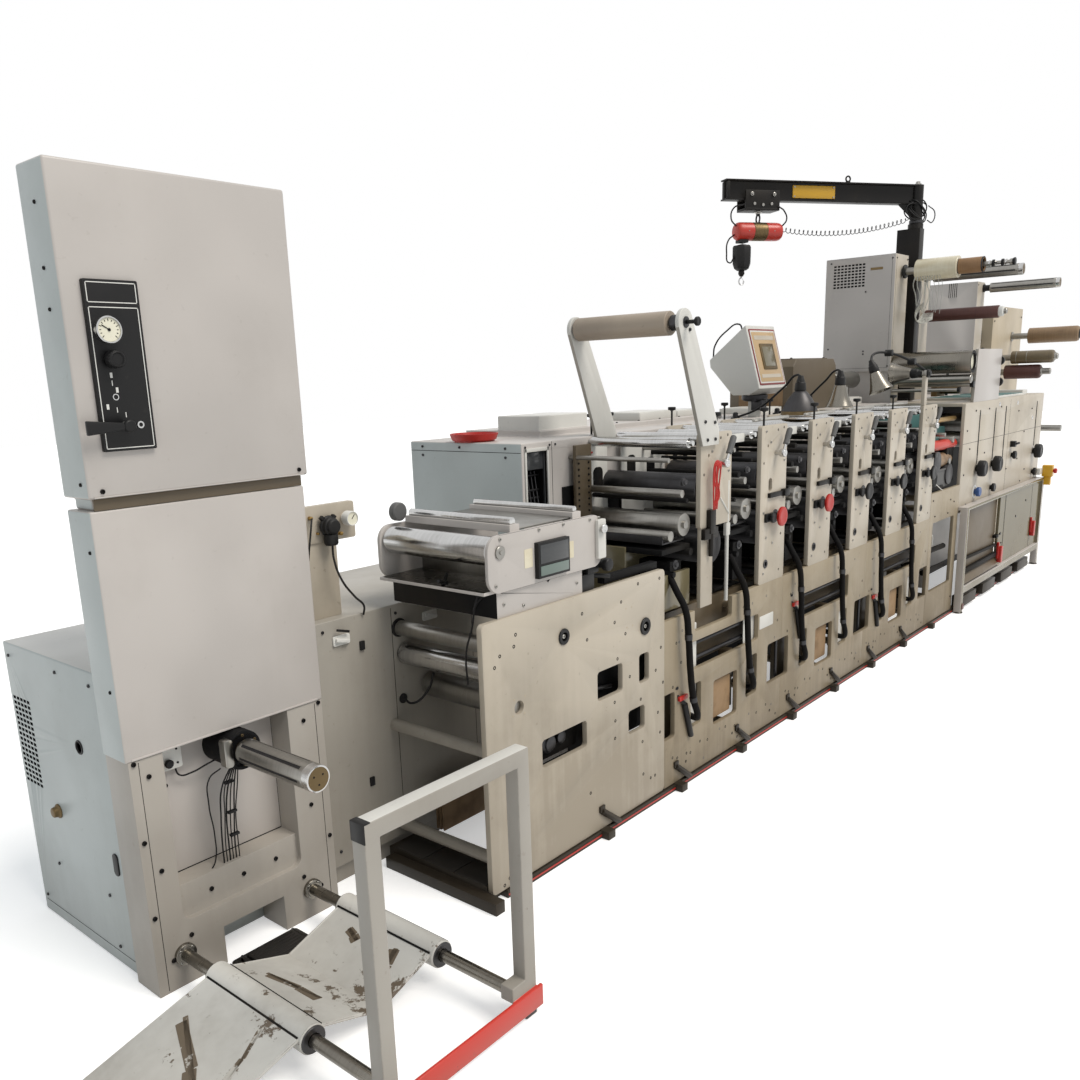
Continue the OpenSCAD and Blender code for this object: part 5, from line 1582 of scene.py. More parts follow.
def finishing_stand():
    """The stand below the finishing panel."""
    skin = softened("panel_stand", "light_grey_paint", 2.5, segments=3)
    touch_up(skin, "olive_pane", lambda c, n: 6255 < c.x < 7378 and 176 < c.z < 679)
    piece("stand_recess_back", [block(5456, -18, 176, 6258, -14, 679)], "taupe_paint", 0.5)
    rails = [turn(block(5460, -40, 345, 6256, -22, 362), 1.6, "Y", (5460, -30, 350)),
             block(5460, -44, 250, 6256, -20, 280)]
    rails += [block(6200, -46, 385, 6256, -20, 405), block(5456, -50, 176, 6256, -16, 184)]
    piece("stand_dark_rails", rails, "inner_black", 1.0)
    floor = [settle(block(5460, -52, 184, 6256, -18, 246))]
    for vertex in floor[0].data.vertices:
        if (vertex.co - ZERO).z / MM > 200 and (vertex.co - ZERO).y / MM < -30:
            vertex.co.z -= 46 * MM
    piece("stand_grey_ramp", floor, "taupe_paint", 0.6)
    seams = [block(x, -41, 176, x + 2, -39, 678) for x in (6385, 6398, 7148)]
    piece("stand_seams", seams, "inner_black", 0)
    catches = [block(6290, -46, 396, 6320, -39, 410), block(6700, -44, 470, 6716, -39, 486),
               block(6960, -44, 560, 6972, -39, 574),
               rod((6350, -40, 330), (6350, -44, 330), 12, 12)]
    piece("stand_catches", catches, "dark_steel", 0.6)
    clamps = []
    for x, z in ((6262, 200), (7168, 262)):
        clamps += [plate(x, -72, z, x + 40, -42, z + 118, 8),
                   plate(x - 14, -56, z + 30, x + 4, -40, z + 148, 4)]
    piece("stand_red_clamps", clamps, "red_plastic", 2.0)
    feet = [turned((x, -38, 0), UP, [(0, 60), (6, 60), (10, 44), (12, 30)], 24) for x in (5434, 7396)]
    feet += [block(5520 + 460 * k, -40, 20, 5820 + 460 * k, 30, 92) for k in range(4)]
    feet += [block(5420, -56, 12, 5460, -10, 40)]
    piece("stand_feet", feet, "black_paint", 2.0)
    red = [plate(5428, -64, 22, 5470, -56, 60, 6), plate(7382, -52, 250, 7406, -15.5, 560, 4, "X")]
    piece("stand_red_marks", red, "dark_red_film", 1.0)


class PRESS_OT_finishing(bpy.types.Operator):
    """Builds the finishing panel with its slots and hand knobs, its top trays and its stand"""

    bl_idname = "press.finishing"
    bl_label = "Finishing section"

    def execute(self, context):
        skin = softened("finishing_panel", "cream_paint", 2.0)
        slot_x = (5742, 6102, 6362, 7232)
        # the slot walls are painted black, and black plates behind the slots and strips along them are
        # painted shade in the openings
        touch_up(skin, "inner_black", lambda c, n: 0.5 < c.y < 19.5 and 998 < c.z < 1272
                 and min(abs(c.x - x) for x in slot_x) < 13)
        slot_shade = [block(x - 18, 22, 990, x + 18, 26, 1280) for x in slot_x]
        slot_shade += [plate(x - 9, -1, low_end, x + 9, 2, 1300, 8) for x,
                       low_end in zip(slot_x, (950, 950, 850, 960))]
        piece("panel_slot_shade", slot_shade, "inner_black", 0.3)
        grips = [turned((x, -0.5, 920), FRONT, [(0, 46), (10, 46), (12, 78), (16, 104), (22, 108),
                (52, 106), (60, 98), (64, 80), (60, 56)], 14)
                 for x in (5742, 6102, 7232)]
        piece("panel_hand_knobs", grips, "black_plastic", 1.6)
        small = [knob((x, 0, z), FRONT, 58, 34, 24) for x, z in ((6110, 755), (7240, 760), (6600, 940))]
        small += [plate(6540, -34, 1000, 6585, 0, 1042, 8), rod((6560, -34, 1021), (6600, -46, 1026), 16,
                12)]
        piece("panel_small_knobs", small, "black_plastic", 1.0)
        piece("panel_blue_knob", [knob((5740, 0, 765), FRONT, 62, 40, 28)], "blue_plastic", 0)
        piece("panel_knob_ring", washers([(5740, 0, 765)], FRONT, 92, 60, 2.5), "white_plastic", 0)
        seams = [block(5412, -0.5, 1098, 7418, 1, 1100), block(6470, -0.5, 700, 6472, 1, 1340)]
        piece("panel_seams", seams, "inner_black", 0)
        dots = [(5560, 1060), (5640, 1300), (5900, 1010), (5940, 1300), (6230, 1300), (6210, 880),
                (6480, 850), (6700, 1250),
                (6760, 900), (6900, 1090), (7000, 800), (7080,
                        1250), (5470, 900), (5480, 1180), (5560, 700), (6900, 720)]
        piece("panel_screws", screws([(x, 0, z) for x, z in dots], scale=0.9), "dark_steel", 0)
        finishing_top()
        finishing_stop_button()
        finishing_stand()
        return {"FINISHED"}


# ---- Rewind and slitting end ----


def rewind_cabinets():
    """The cabinets above the rewind section."""
    vents = slots(5390, 676, 2110, 17, 11, 9, 8, 7, 8, 6) + slots(7176, 634, 2108, 5, 112, 5, 1, 9, 4, 6)
    vents.append(rod((5388, 664, 2075), (5400, 664, 2075), 14, 16))
    skin = softened("rewind_cabinets", "light_grey_paint", 4.0, vents, segments=3)
    touch_up(skin, "cream_paint", lambda c, n: n.y < -0.9)
    # the walls inside the vent slots and the small round hole are painted black as painted shade
    touch_up(skin, "inner_black", lambda c, n: (5391.0 < c.x < 5398 or 7177 < c.x < 7184)
             and 620 < c.y < 905 and c.z > 2060)
    holes = [(5390, y, z) for y, z in ((905, 1722), (664, 1700), (664, 1682), (500, 2270), (500, 1600),
            (905, 2270), (905, 1600))]
    piece("cabinet_bolts", bolt_heads(holes, LEFT, 11, 2.5), "dark_steel", 0)
    front = screws([(5410, 480, 2270), (5600, 480, 2270), (5410, 480, 1600), (7190, 480, 2190),
                    (7190, 480, 1500),
                             (5910, 480, 2225)], scale=0.8)
    piece("cabinet_front_bolts", front, "dark_steel", 0)
    piece("cabinet_blank_plate", [plate(5388.6, 560, 2206, 5391, 640, 2222, 3, "X")], "bronze", 0.4)
    seams = [block(5389.5, 500, 1590, 5391, 501.5, 2280), block(5389.5, 500, 1590, 5391, 925, 1591.5)]
    seams.append(block(5408, 479.4, 1572, 5409.4, 481, 2290))
    piece("cabinet_edges", seams, "inner_black", 0)


def rewind_film_shaft():
    """The first rewind shaft with its film roll and loose trim."""
    x, z = 5522, 2190
    body = "rewind_shaft_1"
    shaft = turned((x, 480, z), FRONT, [(0, 46), (130, 46), (131, 30), (560, 30), (564, 24), (640, 24),
            (641, 34), (652, 36), (672, 28)], 36)
    piece("film_shaft_steel", [shaft], "steel", 0, body, ("rewind_shaft_1",))
    film = turned((x, 389, z), FRONT, [(0, 96), (0.4, 126), (3, 131), (6, 132), (250, 132), (254, 131),
            (256.5, 126), (256.5, 94), (254, 92)], 64)
    piece("film_roll", [film], "cream_film", 0, body)
    core = turned((x, 134, z), FRONT, [(-2, 90), (0, 92), (138, 92), (146, 91), (148, 88), (148, 74),
            (120, 72)], 56)
    piece("film_core", [core], "core_board", 0, body)
    rings = [turned((x, y, z), FRONT, [(0, d), (w, d), (w, d - 14), (0, d - 14)], 48) for y, d,
             w in ((136, 93, 7), (-6, 92.6, 8))]
    piece("film_core_rings", rings, "dark_steel", 0, body)
    root = turned((x, 470, z), FRONT, [(0, 84), (10, 86), (14, 80), (16, 50)], 40)
    fittings = [turned((x, y, z), FRONT, [(0, 32), (2, 42), (14, 42), (16, 32)], 28) for y in (-60, -112)]
    fittings.append(turned((x, -166, z), FRONT, [(0, 20), (4, 26), (16, 44), (24, 46), (27, 38)], 28))
    fittings.append(rod((x - 22, -84, z), (x + 22, -84, z), 12, 14))
    piece("film_shaft_fittings", [root] + fittings, "black_plastic", 0.5, body)
    bright = [turned((x, y, z), FRONT, [(0, 26), (2, 36), (10, 36), (12, 26)], 28) for y in (-40, -134)]
    piece("film_shaft_collars", bright, "chrome", 0, body)
    strands = []
    for k in range(11):
        a = 0.9 * k
        y0 = 380 - 15 * k
        strands.append(wire([(x - 52, y0, z - 42), (x - 40 + 16 * math.sin(a), y0 + 14 * math.cos(a), 2100),
                             (x + 20 * math.sin(2 * a), y0 + 10 * math.cos(a), 2040),
                             (x - 12 * k % 30, y0 + 8 * math.sin(a), 1975 - 6 * k)], 7 - 0.4 * k, sides=2))
    for k in range(9):
        y0 = 392 + 6 * k
        strands.append(wire([(5522 + 18 * k, y0 - 60, 1990 - 8 * k), (5560 + 24 * k, y0, 1950),
                             (5590 + 18 * k, y0 + 8, 1890), (5640 + 20 * k, y0 - 14, 1866 + 8 * k),
                             (5700 + 20 * k, y0 - 60, 1890 + 6 * k)], 8 - 0.5 * k, sides=2))
    piece("film_trim_strands", strands, "clear_film", 0)


def rewind_bare_shafts():
    """The two rewind shafts without a roll."""
    for node, centre in (("rewind_shaft_2", (5980, 2180)), ("rewind_shaft_3", (7326, 2170))):
        low, high = span(node)
        air_shaft(node, centre, low.y, high.y - 52)
        neck = turned((centre[0], high.y - 52, centre[1]), BACK, [(0, 46), (40, 46), (41, 60), (51, 62)],
                      40)
        piece(node + "_neck", [neck], "black_plastic", 0.4, node)


def rewind_waste():
    """The dark red roller that winds the waste."""
    low, high = span("waste_roller")
    x, z = 5980, 1925
    rod_part = turned((x, high.y, z), FRONT, [(0, 34), (high.y - low.y - 3, 34), (high.y - low.y, 30)], 28)
    roll = turned((x, 468, z), FRONT, [(0, 40), (1, 76), (4, 80), (466, 80), (469, 77), (470, 66)], 48)
    cap = turned((x, -2, z), FRONT, [(0, 64), (22, 64), (26, 60), (30, 44), (30, 34)], 40)
    piece("waste_roller_rod", [rod_part], "steel", 0, "waste_roller", ("waste_roller",))
    piece("waste_roller_skin", [roll], "dark_red_film", 0, "waste_roller")
    piece("waste_roller_cap", [cap], "white_plastic", 0, "waste_roller")


def rewind_large_rollers():
    """The chill roller, the lower roller and their bracket."""
    chill = softened("chill_roller", "lamp_metal", 1.0)
    touch_up(chill, "inner_black", lambda c, n: near(c, CHILL_ROLLER, 54) and c.y < 110)
    ring = turned(on(CHILL_ROLLER, 4), FRONT, [(-1, 138), (12, 138), (13.5, 130), (13.5, 106), (0, 105)],
                  56)
    piece("chill_end_ring", [ring], "dial_white", 0, "chill_roller")
    inner = [turned(on(CHILL_ROLLER, 60), FRONT, [(-8, 60), (0, 60), (3, 52), (30, 30), (44, 28)], 32)]
    piece("chill_inner_hub", inner, "dark_steel", 0, "chill_roller")
    lower = turned((5470, 478, 1505), FRONT, [(0, 26), (6, 26), (6, 50), (9, 54), (480, 54), (483, 50),
            (483, 36), (487, 34)], 40)
    piece("lower_roller_turned", [lower], "steel", 0, "lower_roller", ("lower_roller",))
    rods = [rod((5420, 60, 1440), (5420, 470, 1440), 22, 16),
            rod((5560, 20, 1470), (5560, 470, 1470), 30, 20)]
    piece("lower_guide_rods", rods, "steel", 0.5)
    ends = [rod((5420, 60, 1440), (5420, 40, 1440), 34, 20), rod((5555, 22, 1470), (5555, 0, 1470), 40, 20)]
    piece("lower_rod_ends", ends, "black_plastic", 1.5)
    bracket = softened("roller_bracket", "light_grey_paint", 2.0)
    # the side faces take the darker panel grey as painted shade
    touch_up(bracket, "panel_grey", lambda c, n: abs(n.x) > 0.9)
    hubs = [turned((6140, 12, z), (1, 0, 0), [(0, 60), (18, 60), (20, 44), (52, 44), (54, 30)], 24)
            for z in (1610, 1470)]
    piece("bracket_hubs", hubs, "black_plastic", 1.0)


def rewind_tower():
    """The end tower with its knobs and shafts."""
    low, high = span("rewind_tower")
    x0, x1, y = low.x + 120, low.x + 780, high.y
    seams = [block(x0, y - 3, z, x1, y + 1, z + 3) for z in (140, 1900)]
    seams += [block(x, y - 3, 144, x + 3, y + 1, 1899) for x in (x0, x1 - 3)]
    skin = softened("rewind_tower", "beige_paint", 5.0, seams, segments=3)
    touch_up(skin, "steel", lambda c, n: c.y < 478)
    box = [plate(low.x - 60, 560, 1748, low.x + 1, 660, 1863, 8, "X")]
    piece("rewind_tower_box", box, "black_plastic", 2.0)
    dials = [knob((low.x, y, z), LEFT, d, 34, 24) for y, z, d in ((520, 1560, 90), (600, 1460, 60),
            (540, 1700, 40))]
    piece("rewind_tower_knobs", dials, "black_plastic", 0.6)
    bolts = screws([(low.x + 40, 480, z) for z in (300, 800, 1300, 1700,
            1930)] + [(high.x - 40, 480, z) for z in (300, 900, 1500, 1980)])
    piece("rewind_tower_screws", bolts, "dark_steel", 0)
    rewind_tower_rolls()


def rewind_tower_rolls():
    """The rolls on the shafts of the end tower."""
    for node, x, z, d, free, back, finish in (("tower_shaft_1", 8265, 1812, 128, -42, 343, "kraft"),
                                              ("tower_shaft_2", 7965, 1634, 104, 65, 390, "brown_wrap"),
                                              ("tower_shaft_3", 7965, 1515, 114, 156, 434,
                                               "dark_red_film")):
        low, high = span(node)
        shaft = turned((x, high.y, z), FRONT, [(0, 80), (8, 80), (10, 50), (high.y - low.y - 4, 50),
                (high.y - low.y, 42)], 32)
        piece(node + "_steel", [shaft], "steel", 0, node, (node,))
        roll = turned((x, back, z), FRONT, [(0, d * 0.6), (0.5, d - 4), (3, d), (back - free - 22, d),
                (back - free - 6, d * 0.9),
                                            (back - free, d * 0.7)], 48)
        piece(node + "_roll", [roll], finish, 0, node)
        rings = [turned((x, y, z), FRONT, [(0, d + 0.6), (5, d + 0.6)], 48)
                 for y in (back - 40, back - 120)] if finish == "brown_wrap" else []
        rings.append(turned((x, free + 1, z), FRONT, [(0, d * 0.62), (8, d * 0.6), (12, d * 0.5)], 36))
        piece(node + "_end", rings, "dark_steel" if finish == "kraft" else "steel", 0, node)


def rewind_small_lamp():
    """Lamp on a black stem and the pale frame before the third cabinet."""
    stem = [rod((6450, 440, 1375), (6450, 440, 1560), 20, 16),
            rod((6450, 440, 1560), (6560, 400, 1585), 16, 14)]
    piece("rewind_lamp_stem", stem, "black_plastic", 0.6)
    head = turned((6420, 450, 1580), LEFT, [(0, 40), (30, 46), (40, 70), (78, 90), (80, 84), (60, 60)], 32)
    piece("rewind_lamp_head", [head], "cream_paint", 0)
    frame_part = [block(6620, 300, 1375, 6660, 320, 1530), block(7040, 300, 1375, 7080, 320, 1530),
                  block(6620, 300, 1500, 7080, 320, 1540),
                  block(6620, 300, 1375, 7080, 320, 1400)]
    piece("rewind_pale_frame", frame_part, "cream_paint", 1.5)
    piece("rewind_frame_pane", [block(6660, 306, 1400, 7040, 310, 1500)], "pane_grey", 0.4)
    gear = [block(6200, 430, 1375, 6380, 470, 1470), rod((6300, 300, 1420), (6300, 470, 1420), 60, 24)]
    piece("rewind_brass_works", gear, "bronze", 1.5)


class PRESS_OT_rewind(bpy.types.Operator):
    """Builds the rewind end: cabinets, end tower, shafts, film rolls, cores and the roller bracket"""

    bl_idname = "press.rewind"
    bl_label = "Rewind end"

    def execute(self, context):
        rewind_cabinets()
        rewind_film_shaft()
        rewind_bare_shafts()
        rewind_waste()
        rewind_large_rollers()
        rewind_tower()
        rewind_small_lamp()
        return {"FINISHED"}


# ---- Jib crane ----

# The beam's heading in degrees, its swivel, and places along it in millimetres out from the swivel
BEAM_ANGLE = 148
SWIVEL = (5810, 515, 0)
TROLLEY = 1190
BAG = TROLLEY + 110
CORD_START = (1025, 2465)
CORD_END = (60, 2540)
CORD_COIL = 14.5
CORD_WIRE = 4.5


def along(r, side, z):
    """A place on the jib beam, r out from its swivel, in press millimetres."""
    a = math.radians(BEAM_ANGLE)
    return (SWIVEL[0] + r * math.cos(a) - side * math.sin(a),
            SWIVEL[1] + r * math.sin(a) + side * math.cos(a), z)


def beam_block(r0, s0, z0, r1, s1, z1):
    """Box square to the jib beam."""
    obj = block(SWIVEL[0] + r0, SWIVEL[1] + s0, z0, SWIVEL[0] + r1, SWIVEL[1] + s1, z1)
    return turn(obj, BEAM_ANGLE, "Z", SWIVEL)


def beam_rod(start, end, diameter, sides=24):
    """Round bar between two places given along the jib beam."""
    return rod(along(*start), along(*end), diameter, sides)


def crane_beam():
    """The swinging beam with its swivel, blank plate and end stops."""
    softened("jib_beam", "black_paint", 1.2)
    grey = [turned((5810, 515, 2511), UP, [(0, 78), (4, 84), (20, 84), (26, 76)], 36),
            beam_rod((0, -38, 2600), (0, -58, 2600), 22, 20)]
    piece("beam_swivel_ring", grey, "dark_steel", 0.8, "jib_beam")
    bolt = [turned(along(0, 0, 2750), UP, [(-1, 46), (10, 46), (12, 30), (22, 30), (24, 22)], 6)]
    piece("beam_swivel_bolt", bolt, "steel", 0.8, "jib_beam")
    piece("beam_blank_plate", [beam_block(640, 4, 2652, 950, 10, 2728)], "yellow_paint", 1.5, "jib_beam")
    studs = [beam_rod((r, 9, z), (r, 13, z), 11, 12) for r in (652, 938) for z in (2662, 2718)]
    piece("beam_plate_studs", studs, "steel", 0, "jib_beam")
    ends = [beam_block(1408, 5, 2640, 1426, 34, 2738), beam_block(1408, -34, 2640, 1426, -5, 2738)]
    piece("beam_end_stops", ends, "black_paint", 1.5, "jib_beam")


def crane_trolley():
    """The trolley that runs on the beam."""
    plates = []
    for side in (-49, 49):
        plates.append(beam_block(TROLLEY - 120, side - 6, 2580, TROLLEY + 120, side + 6, 2686))
    plates.append(beam_block(TROLLEY - 120, -55, 2568, TROLLEY + 120, 55, 2582))
    piece("trolley_plates", plates, "black_paint", 2.5, "hoist", replaces=("hoist",))
    wheels, axles = [], []
    for r in (-78, 78):
        for side, way in ((-49, 1), (49, -1)):
            start = along(TROLLEY + r, side + 6 * way, 2662)
            inward = Vector(along(0, way, 0)) - Vector(along(0, 0, 0))
            wheels.append(turned(start, inward, [(0, 30), (2, 44), (4, 46), (18, 40), (20, 30)], 28))
            axles.append(turned(along(TROLLEY + r, side - 6 * way, 2662), -inward,
                    [(-1, 26), (6, 26), (7, 18), (14, 16)], 6))
    piece("trolley_wheels", wheels, "dark_steel", 0, "hoist")
    piece("trolley_axles", axles, "steel", 0.5, "hoist")
    pins = [beam_rod((TROLLEY + r, -62, z), (TROLLEY + r, 62, z), 18, 16) for r,
            z in ((-60, 2606), (0, 2600), (60, 2606))]
    pins.append(turned(along(TROLLEY, 0, 2570), DOWN, [(0, 52), (8, 52), (10, 30), (16, 30)], 24))
    piece("trolley_pins", pins, "steel", 0.6, "hoist")


def crane_hoist():
    """The hoist below the trolley."""
    z = 2450
    shackle = wire([along(TROLLEY, 0, 2498), along(TROLLEY, -19, 2515), along(TROLLEY, -17, 2540),
                    along(TROLLEY, 0, 2556),
                    along(TROLLEY, 17, 2540), along(TROLLEY, 19, 2515)], 11, closed=True)
    eye = beam_rod((TROLLEY, 0, 2494), (TROLLEY, 0, 2504), 40)
    link = wire([along(TROLLEY - 14, 0, 2572), along(TROLLEY, 0, 2545), along(TROLLEY + 14, 0, 2572)], 9)
    piece("hoist_shackle", [shackle, eye, link], "dark_steel", 0, "hoist")
    way = Vector(along(1, 0, 0)) - Vector(along(0, 0, 0))
    shell = [(0, 78), (4, 92), (12, 103), (26, 109), (40, 110), (112, 110), (114, 106)]
    left = turned(along(TROLLEY - 160, 0, z), way, shell, 44)
    right = turned(along(TROLLEY + 160, 0, z), -way, shell, 44)
    piece("hoist_red_shells", [left, right], "red_paint", 0, "hoist")
    band = turned(along(TROLLEY - 48, 0, z), way, [(0, 104), (2, 108), (92, 108), (94, 104)], 44)
    fins = [turned(along(TROLLEY - 42 + 11 * k, 0, z), way, [(0, 106), (0.5, 110), (4, 110), (4.5, 106)],
                   44) for k in range(8)]
    piece("hoist_band", [band] + fins, "bronze", 0, "hoist")
    oval = [turned(along(TROLLEY - 158.5, 0, z), -way, [(-2, 66), (1, 66), (1.4, 60)], 36)]
    piece("hoist_blank_end", oval, "dial_white", 0, "hoist")
    ends = [turned(along(TROLLEY + 159, 0, z), way, [(-1, 66), (0.9, 62)], 36)]
    piece("hoist_far_end", ends, "dark_steel", 0, "hoist")
    screws_ = [beam_rod((r, 50 * math.sin(a), z + 50 * math.cos(a)),
            (r, 56 * math.sin(a), z + 56 * math.cos(a)), 7, 10)
               for r in (TROLLEY - 90, TROLLEY + 90) for a in (0.4, 1.6, 2.8, 4.0, 5.2)]
    piece("hoist_screws", screws_, "steel", 0, "hoist")
    guide = beam_block(BAG - 30, -30, 2382, BAG + 30, 30, 2402)
    piece("hoist_chain_guide", [guide], "black_plastic", 3.0, "hoist")
    crane_chain()
    crane_hook()


def crane_chain():
    """Lifting chain between the hoist and its chain bag's neck."""
    links = []
    for k in range(4):
        z = 2372 + 12 * k
        link = [(-4, z), (-4, z + 11), (0, z + 15), (4, z + 11), (4, z), (0, z - 4)]
        if k % 2:
            links.append(wire([along(BAG + a, 0, c) for a, c in link], 3.4, closed=True, sides=1))
        else:
            links.append(wire([along(BAG, a, c) for a, c in link], 3.4, closed=True, sides=1))
    piece("hoist_chain", links, "steel", 0, "hoist")


def crane_hook():
    """The chain bag, the hook and its latch."""
    base = Vector(along(BAG, 0, 0))
    x, y = base.x, base.y
    bag = turned((x, y, 2368), DOWN, [(0, 100), (4, 112), (12, 119), (60, 119), (110, 116), (138, 96),
            (150, 60), (151, 30)], 8)
    lid = turned((x, y, 2366), UP, [(0, 70), (5, 60), (8, 30)], 8)
    piece("hoist_bag", [bag, lid], "black_plastic", 3.0, "hoist")
    block_part = turned((x, y, 2224), DOWN, [(0, 26), (4, 36), (26, 40), (34, 30), (42, 20)], 20)
    piece("hook_block", [block_part], "black_paint", 0.5, "hoist")
    turns = [(0, 2192), (0, 2178), (13, 2166), (17, 2150), (8, 2135), (-6, 2134), (-15, 2144), (-17, 2156)]
    hook = wire([along(BAG + a, 0, c) for a, c in turns], 9, sides=3)
    latch = wire([along(BAG - 15, 0, 2158), along(BAG - 6, 0, 2170), along(BAG, 0, 2182)], 4)
    piece("hook_steel", [hook, latch], "chrome", 0, "hoist")


def crane_curly_cord():
    """Power cord in a close helix from the hoist to the post, slack between its ends."""
    turns_count, coil, points_per_turn, sag = 30, CORD_COIL, 14, 50
    steps = turns_count * points_per_turn
    route = []
    for i in range(steps + 1):
        t = i / steps
        r = CORD_START[0] + (CORD_END[0] - CORD_START[0]) * t
        z = CORD_START[1] + (CORD_END[1] - CORD_START[1]) * t - sag * 4 * t * (1 - t)
        radius = coil * min(1, i / points_per_turn, (steps - i) / points_per_turn)
        a = 2 * math.pi * i / points_per_turn
        route.append(along(r, radius * math.cos(a), z + radius * math.sin(a)))
    curve = bpy.data.curves.new("curly", "CURVE")
    curve.dimensions = "3D"
    curve.bevel_depth = CORD_WIRE / 2 * MM
    curve.bevel_resolution = 1
    curve.use_fill_caps = True
    spline = curve.splines.new("POLY")
    spline.points.add(len(route) - 1)
    for knot, place in zip(spline.points, route):
        knot.co = (*at(*place), 1.0)
    obj = bpy.data.objects.new("curly", curve)
    bpy.context.scene.collection.objects.link(obj)
    only(obj)
    bpy.ops.object.convert(target="MESH")
    made = clad(bpy.context.object, "hoist_curly_cord", "rubber", "jib_beam", ("hoist_cord",))


def crane_cables():
    """Loose cables of the hoist and the mast."""
    hose = chosen_size("hose")
    near = ((-160, 20, 2480), (-190, 26, 2520), (-165, 40, 2566), (-110, 62, 2590))
    far = ((158, 10, 2480), (200, 20, 2520), (195, 40, 2580), (130, 62, 2600))
    pendant = ((156, -10, 2435), (195, -20, 2400), (205, -22, 2330), (190, -10, 2265), (170, 0, 2290),
               (156, 6, 2330))
    runs = [wire([along(TROLLEY + r, side, z) for r, side, z in route], hose + 2)
            for route in (near, far, pendant)]
    piece("hoist_cables", runs, "rubber", 0, "hoist")
    coils = []
    for k in range(9):
        a0, lean = 0.7 * k, 18 * math.sin(2.1 * k)
        ring = []
        for j in range(9):
            a = a0 + 2 * math.pi * j / 9
            ring.append(along(-20 + 6 * k + (54 + 5 * (k % 3)) * math.cos(a),
                    60 * math.sin(a) * (0.5 + 0.08 * (k % 4)),
                              2592 + lean + (46 + 6 * (k % 4)) * math.sin(a + 0.4 * k)))
        coils.append(wire(ring, hose + 1, closed=True))
    hanging = [[along(-60, 40, 2620), along(-110, 44, 2580), along(-100, 40, 2520), along(-40, 62, 2525)],
               [along(60, 40, 2640), along(120, 52, 2600), along(90, 60, 2540), along(20, 66, 2530)]]
    coils += [wire(route, hose) for route in hanging]
    piece("mast_head_cable_coil", coils, "rubber", 0, "jib_beam")
    down = [[(5852, 560, 2470), (5862, 562, 2300), (5858, 560, 2000), (5862, 556, 1700), (5856, 560, 1390)],
            [(5856, 580, 2440), (5866, 584, 2250), (5860, 586, 1900), (5864, 584, 1390)]]
    piece("mast_cables", [wire(route, hose) for route in down], "rubber", 0)


class PRESS_OT_jib_crane(bpy.types.Operator):
    """Builds the jib crane: mast, swinging beam, trolley, hoist, hook, cables and curly cord"""

    bl_idname = "press.jib_crane"
    bl_label = "Jib crane"

    def execute(self, context):
        softened("jib_mast", "black_paint", 2.5)
        foot = [(x, y, 1379) for x in (5758, 5862) for y in (640, 660)]
        piece("mast_foot_screws", bolt_heads(foot, UP, 16, 8), "steel", 0)
        crane_beam()
        crane_trolley()
        crane_hoist()
        crane_curly_cord()
        crane_cables()
        return {"FINISHED"}


# ---- Small equipment ----


def equipment_lamps():
    """The work lamps with their arms and bulbs."""
    bell = [(104, 44), (96, 54), (60, 76), (30, 98), (6, 126), (0, 131), (0, 134), (2, 134), (8, 128),
            (34, 102),
            (62, 82), (84, 70), (98, 62), (107, 56), (110, 48)]
    dome = [(104, 44), (96, 68), (70, 108), (36, 146), (8, 166), (0, 169), (0, 172), (3, 172), (10, 169),
            (38, 151),
            (72, 114), (98, 76), (107, 58), (110, 48)]
    neck = [(106, 46), (112, 53), (116, 55), (134, 51), (146, 48), (150, 40), (158, 38), (166, 30),
            (180, 24)]
    glass = [(20, 10), (22, 30), (34, 56), (56, 60), (84, 40), (106, 36)]
    tilt = (0, math.sin(math.radians(22)), math.cos(math.radians(22)))
    hood = (3325, 150, 1390)
    shades = [((3792, 150, 1405), UP), ((4310, 130, 1467), tilt), ((4646, 198, 1553), FRONT)]
    piece("lamp_shades", [turned(place, way, bell, 48) for place, way in shades], "lamp_metal", 0,
          replaces=("lamps",))
    piece("lamp_dome", [turned(hood, UP, dome, 56)], "dark_steel", 0)
    piece("lamp_dome_band", [turned(hood, UP, [(-1, 170), (0, 174), (16, 171), (18, 160)], 56)], "bronze",
          0)
    shades.append((hood, UP))
    piece("lamp_bulbs", [turned(place, way, glass, 28) for place, way in shades], "white_plastic", 0)
    parts = [turned(place, way, neck, 28) for place, way in shades]
    for x, y, z in (shades[0][0], hood):
        parts.append(wire([(x, y, z + 176), (x + 6, y + 22, z + 184), (x + 20, 240, z + 130),
                (x + 50, 400, 1412),
                           (x + 60, 520, 1372)], 11, sides=3))
        parts.append(turned((x + 60, 520, 1365), UP, [(0, 46), (8, 46), (10, 30), (30, 26), (34, 14)], 24))
        parts.append(rod((x - 26, y, z + 150), (x + 26, y, z + 150), 11, 14))
    parts.append(wire([(4310, 196, 1630), (4350, 200, 1664), (4450, 150, 1670), (4560, 60, 1620),
            (4646, 8, 1566)], 14, sides=3))
    parts += [rod((4450, 130, 1670), (4450, 170, 1670), 36), rod((4560, 40, 1620), (4560, 80, 1620), 36)]
    parts.append(turned((4646, 0, 1553), FRONT, [(-1, 46), (12, 46), (14, 34), (20, 28)], 24))
    piece("lamp_joints", parts, "black_plastic", 0.4)
    piece("lamp_post", [plate(4626, 0, 1375, 4666, 20, 1562, 3)], "cream_paint", 1.0)
    piece("lamp_post_cap", [plate(4622, -3, 1540, 4670, 22, 1570, 6)], "steel", 1.2)


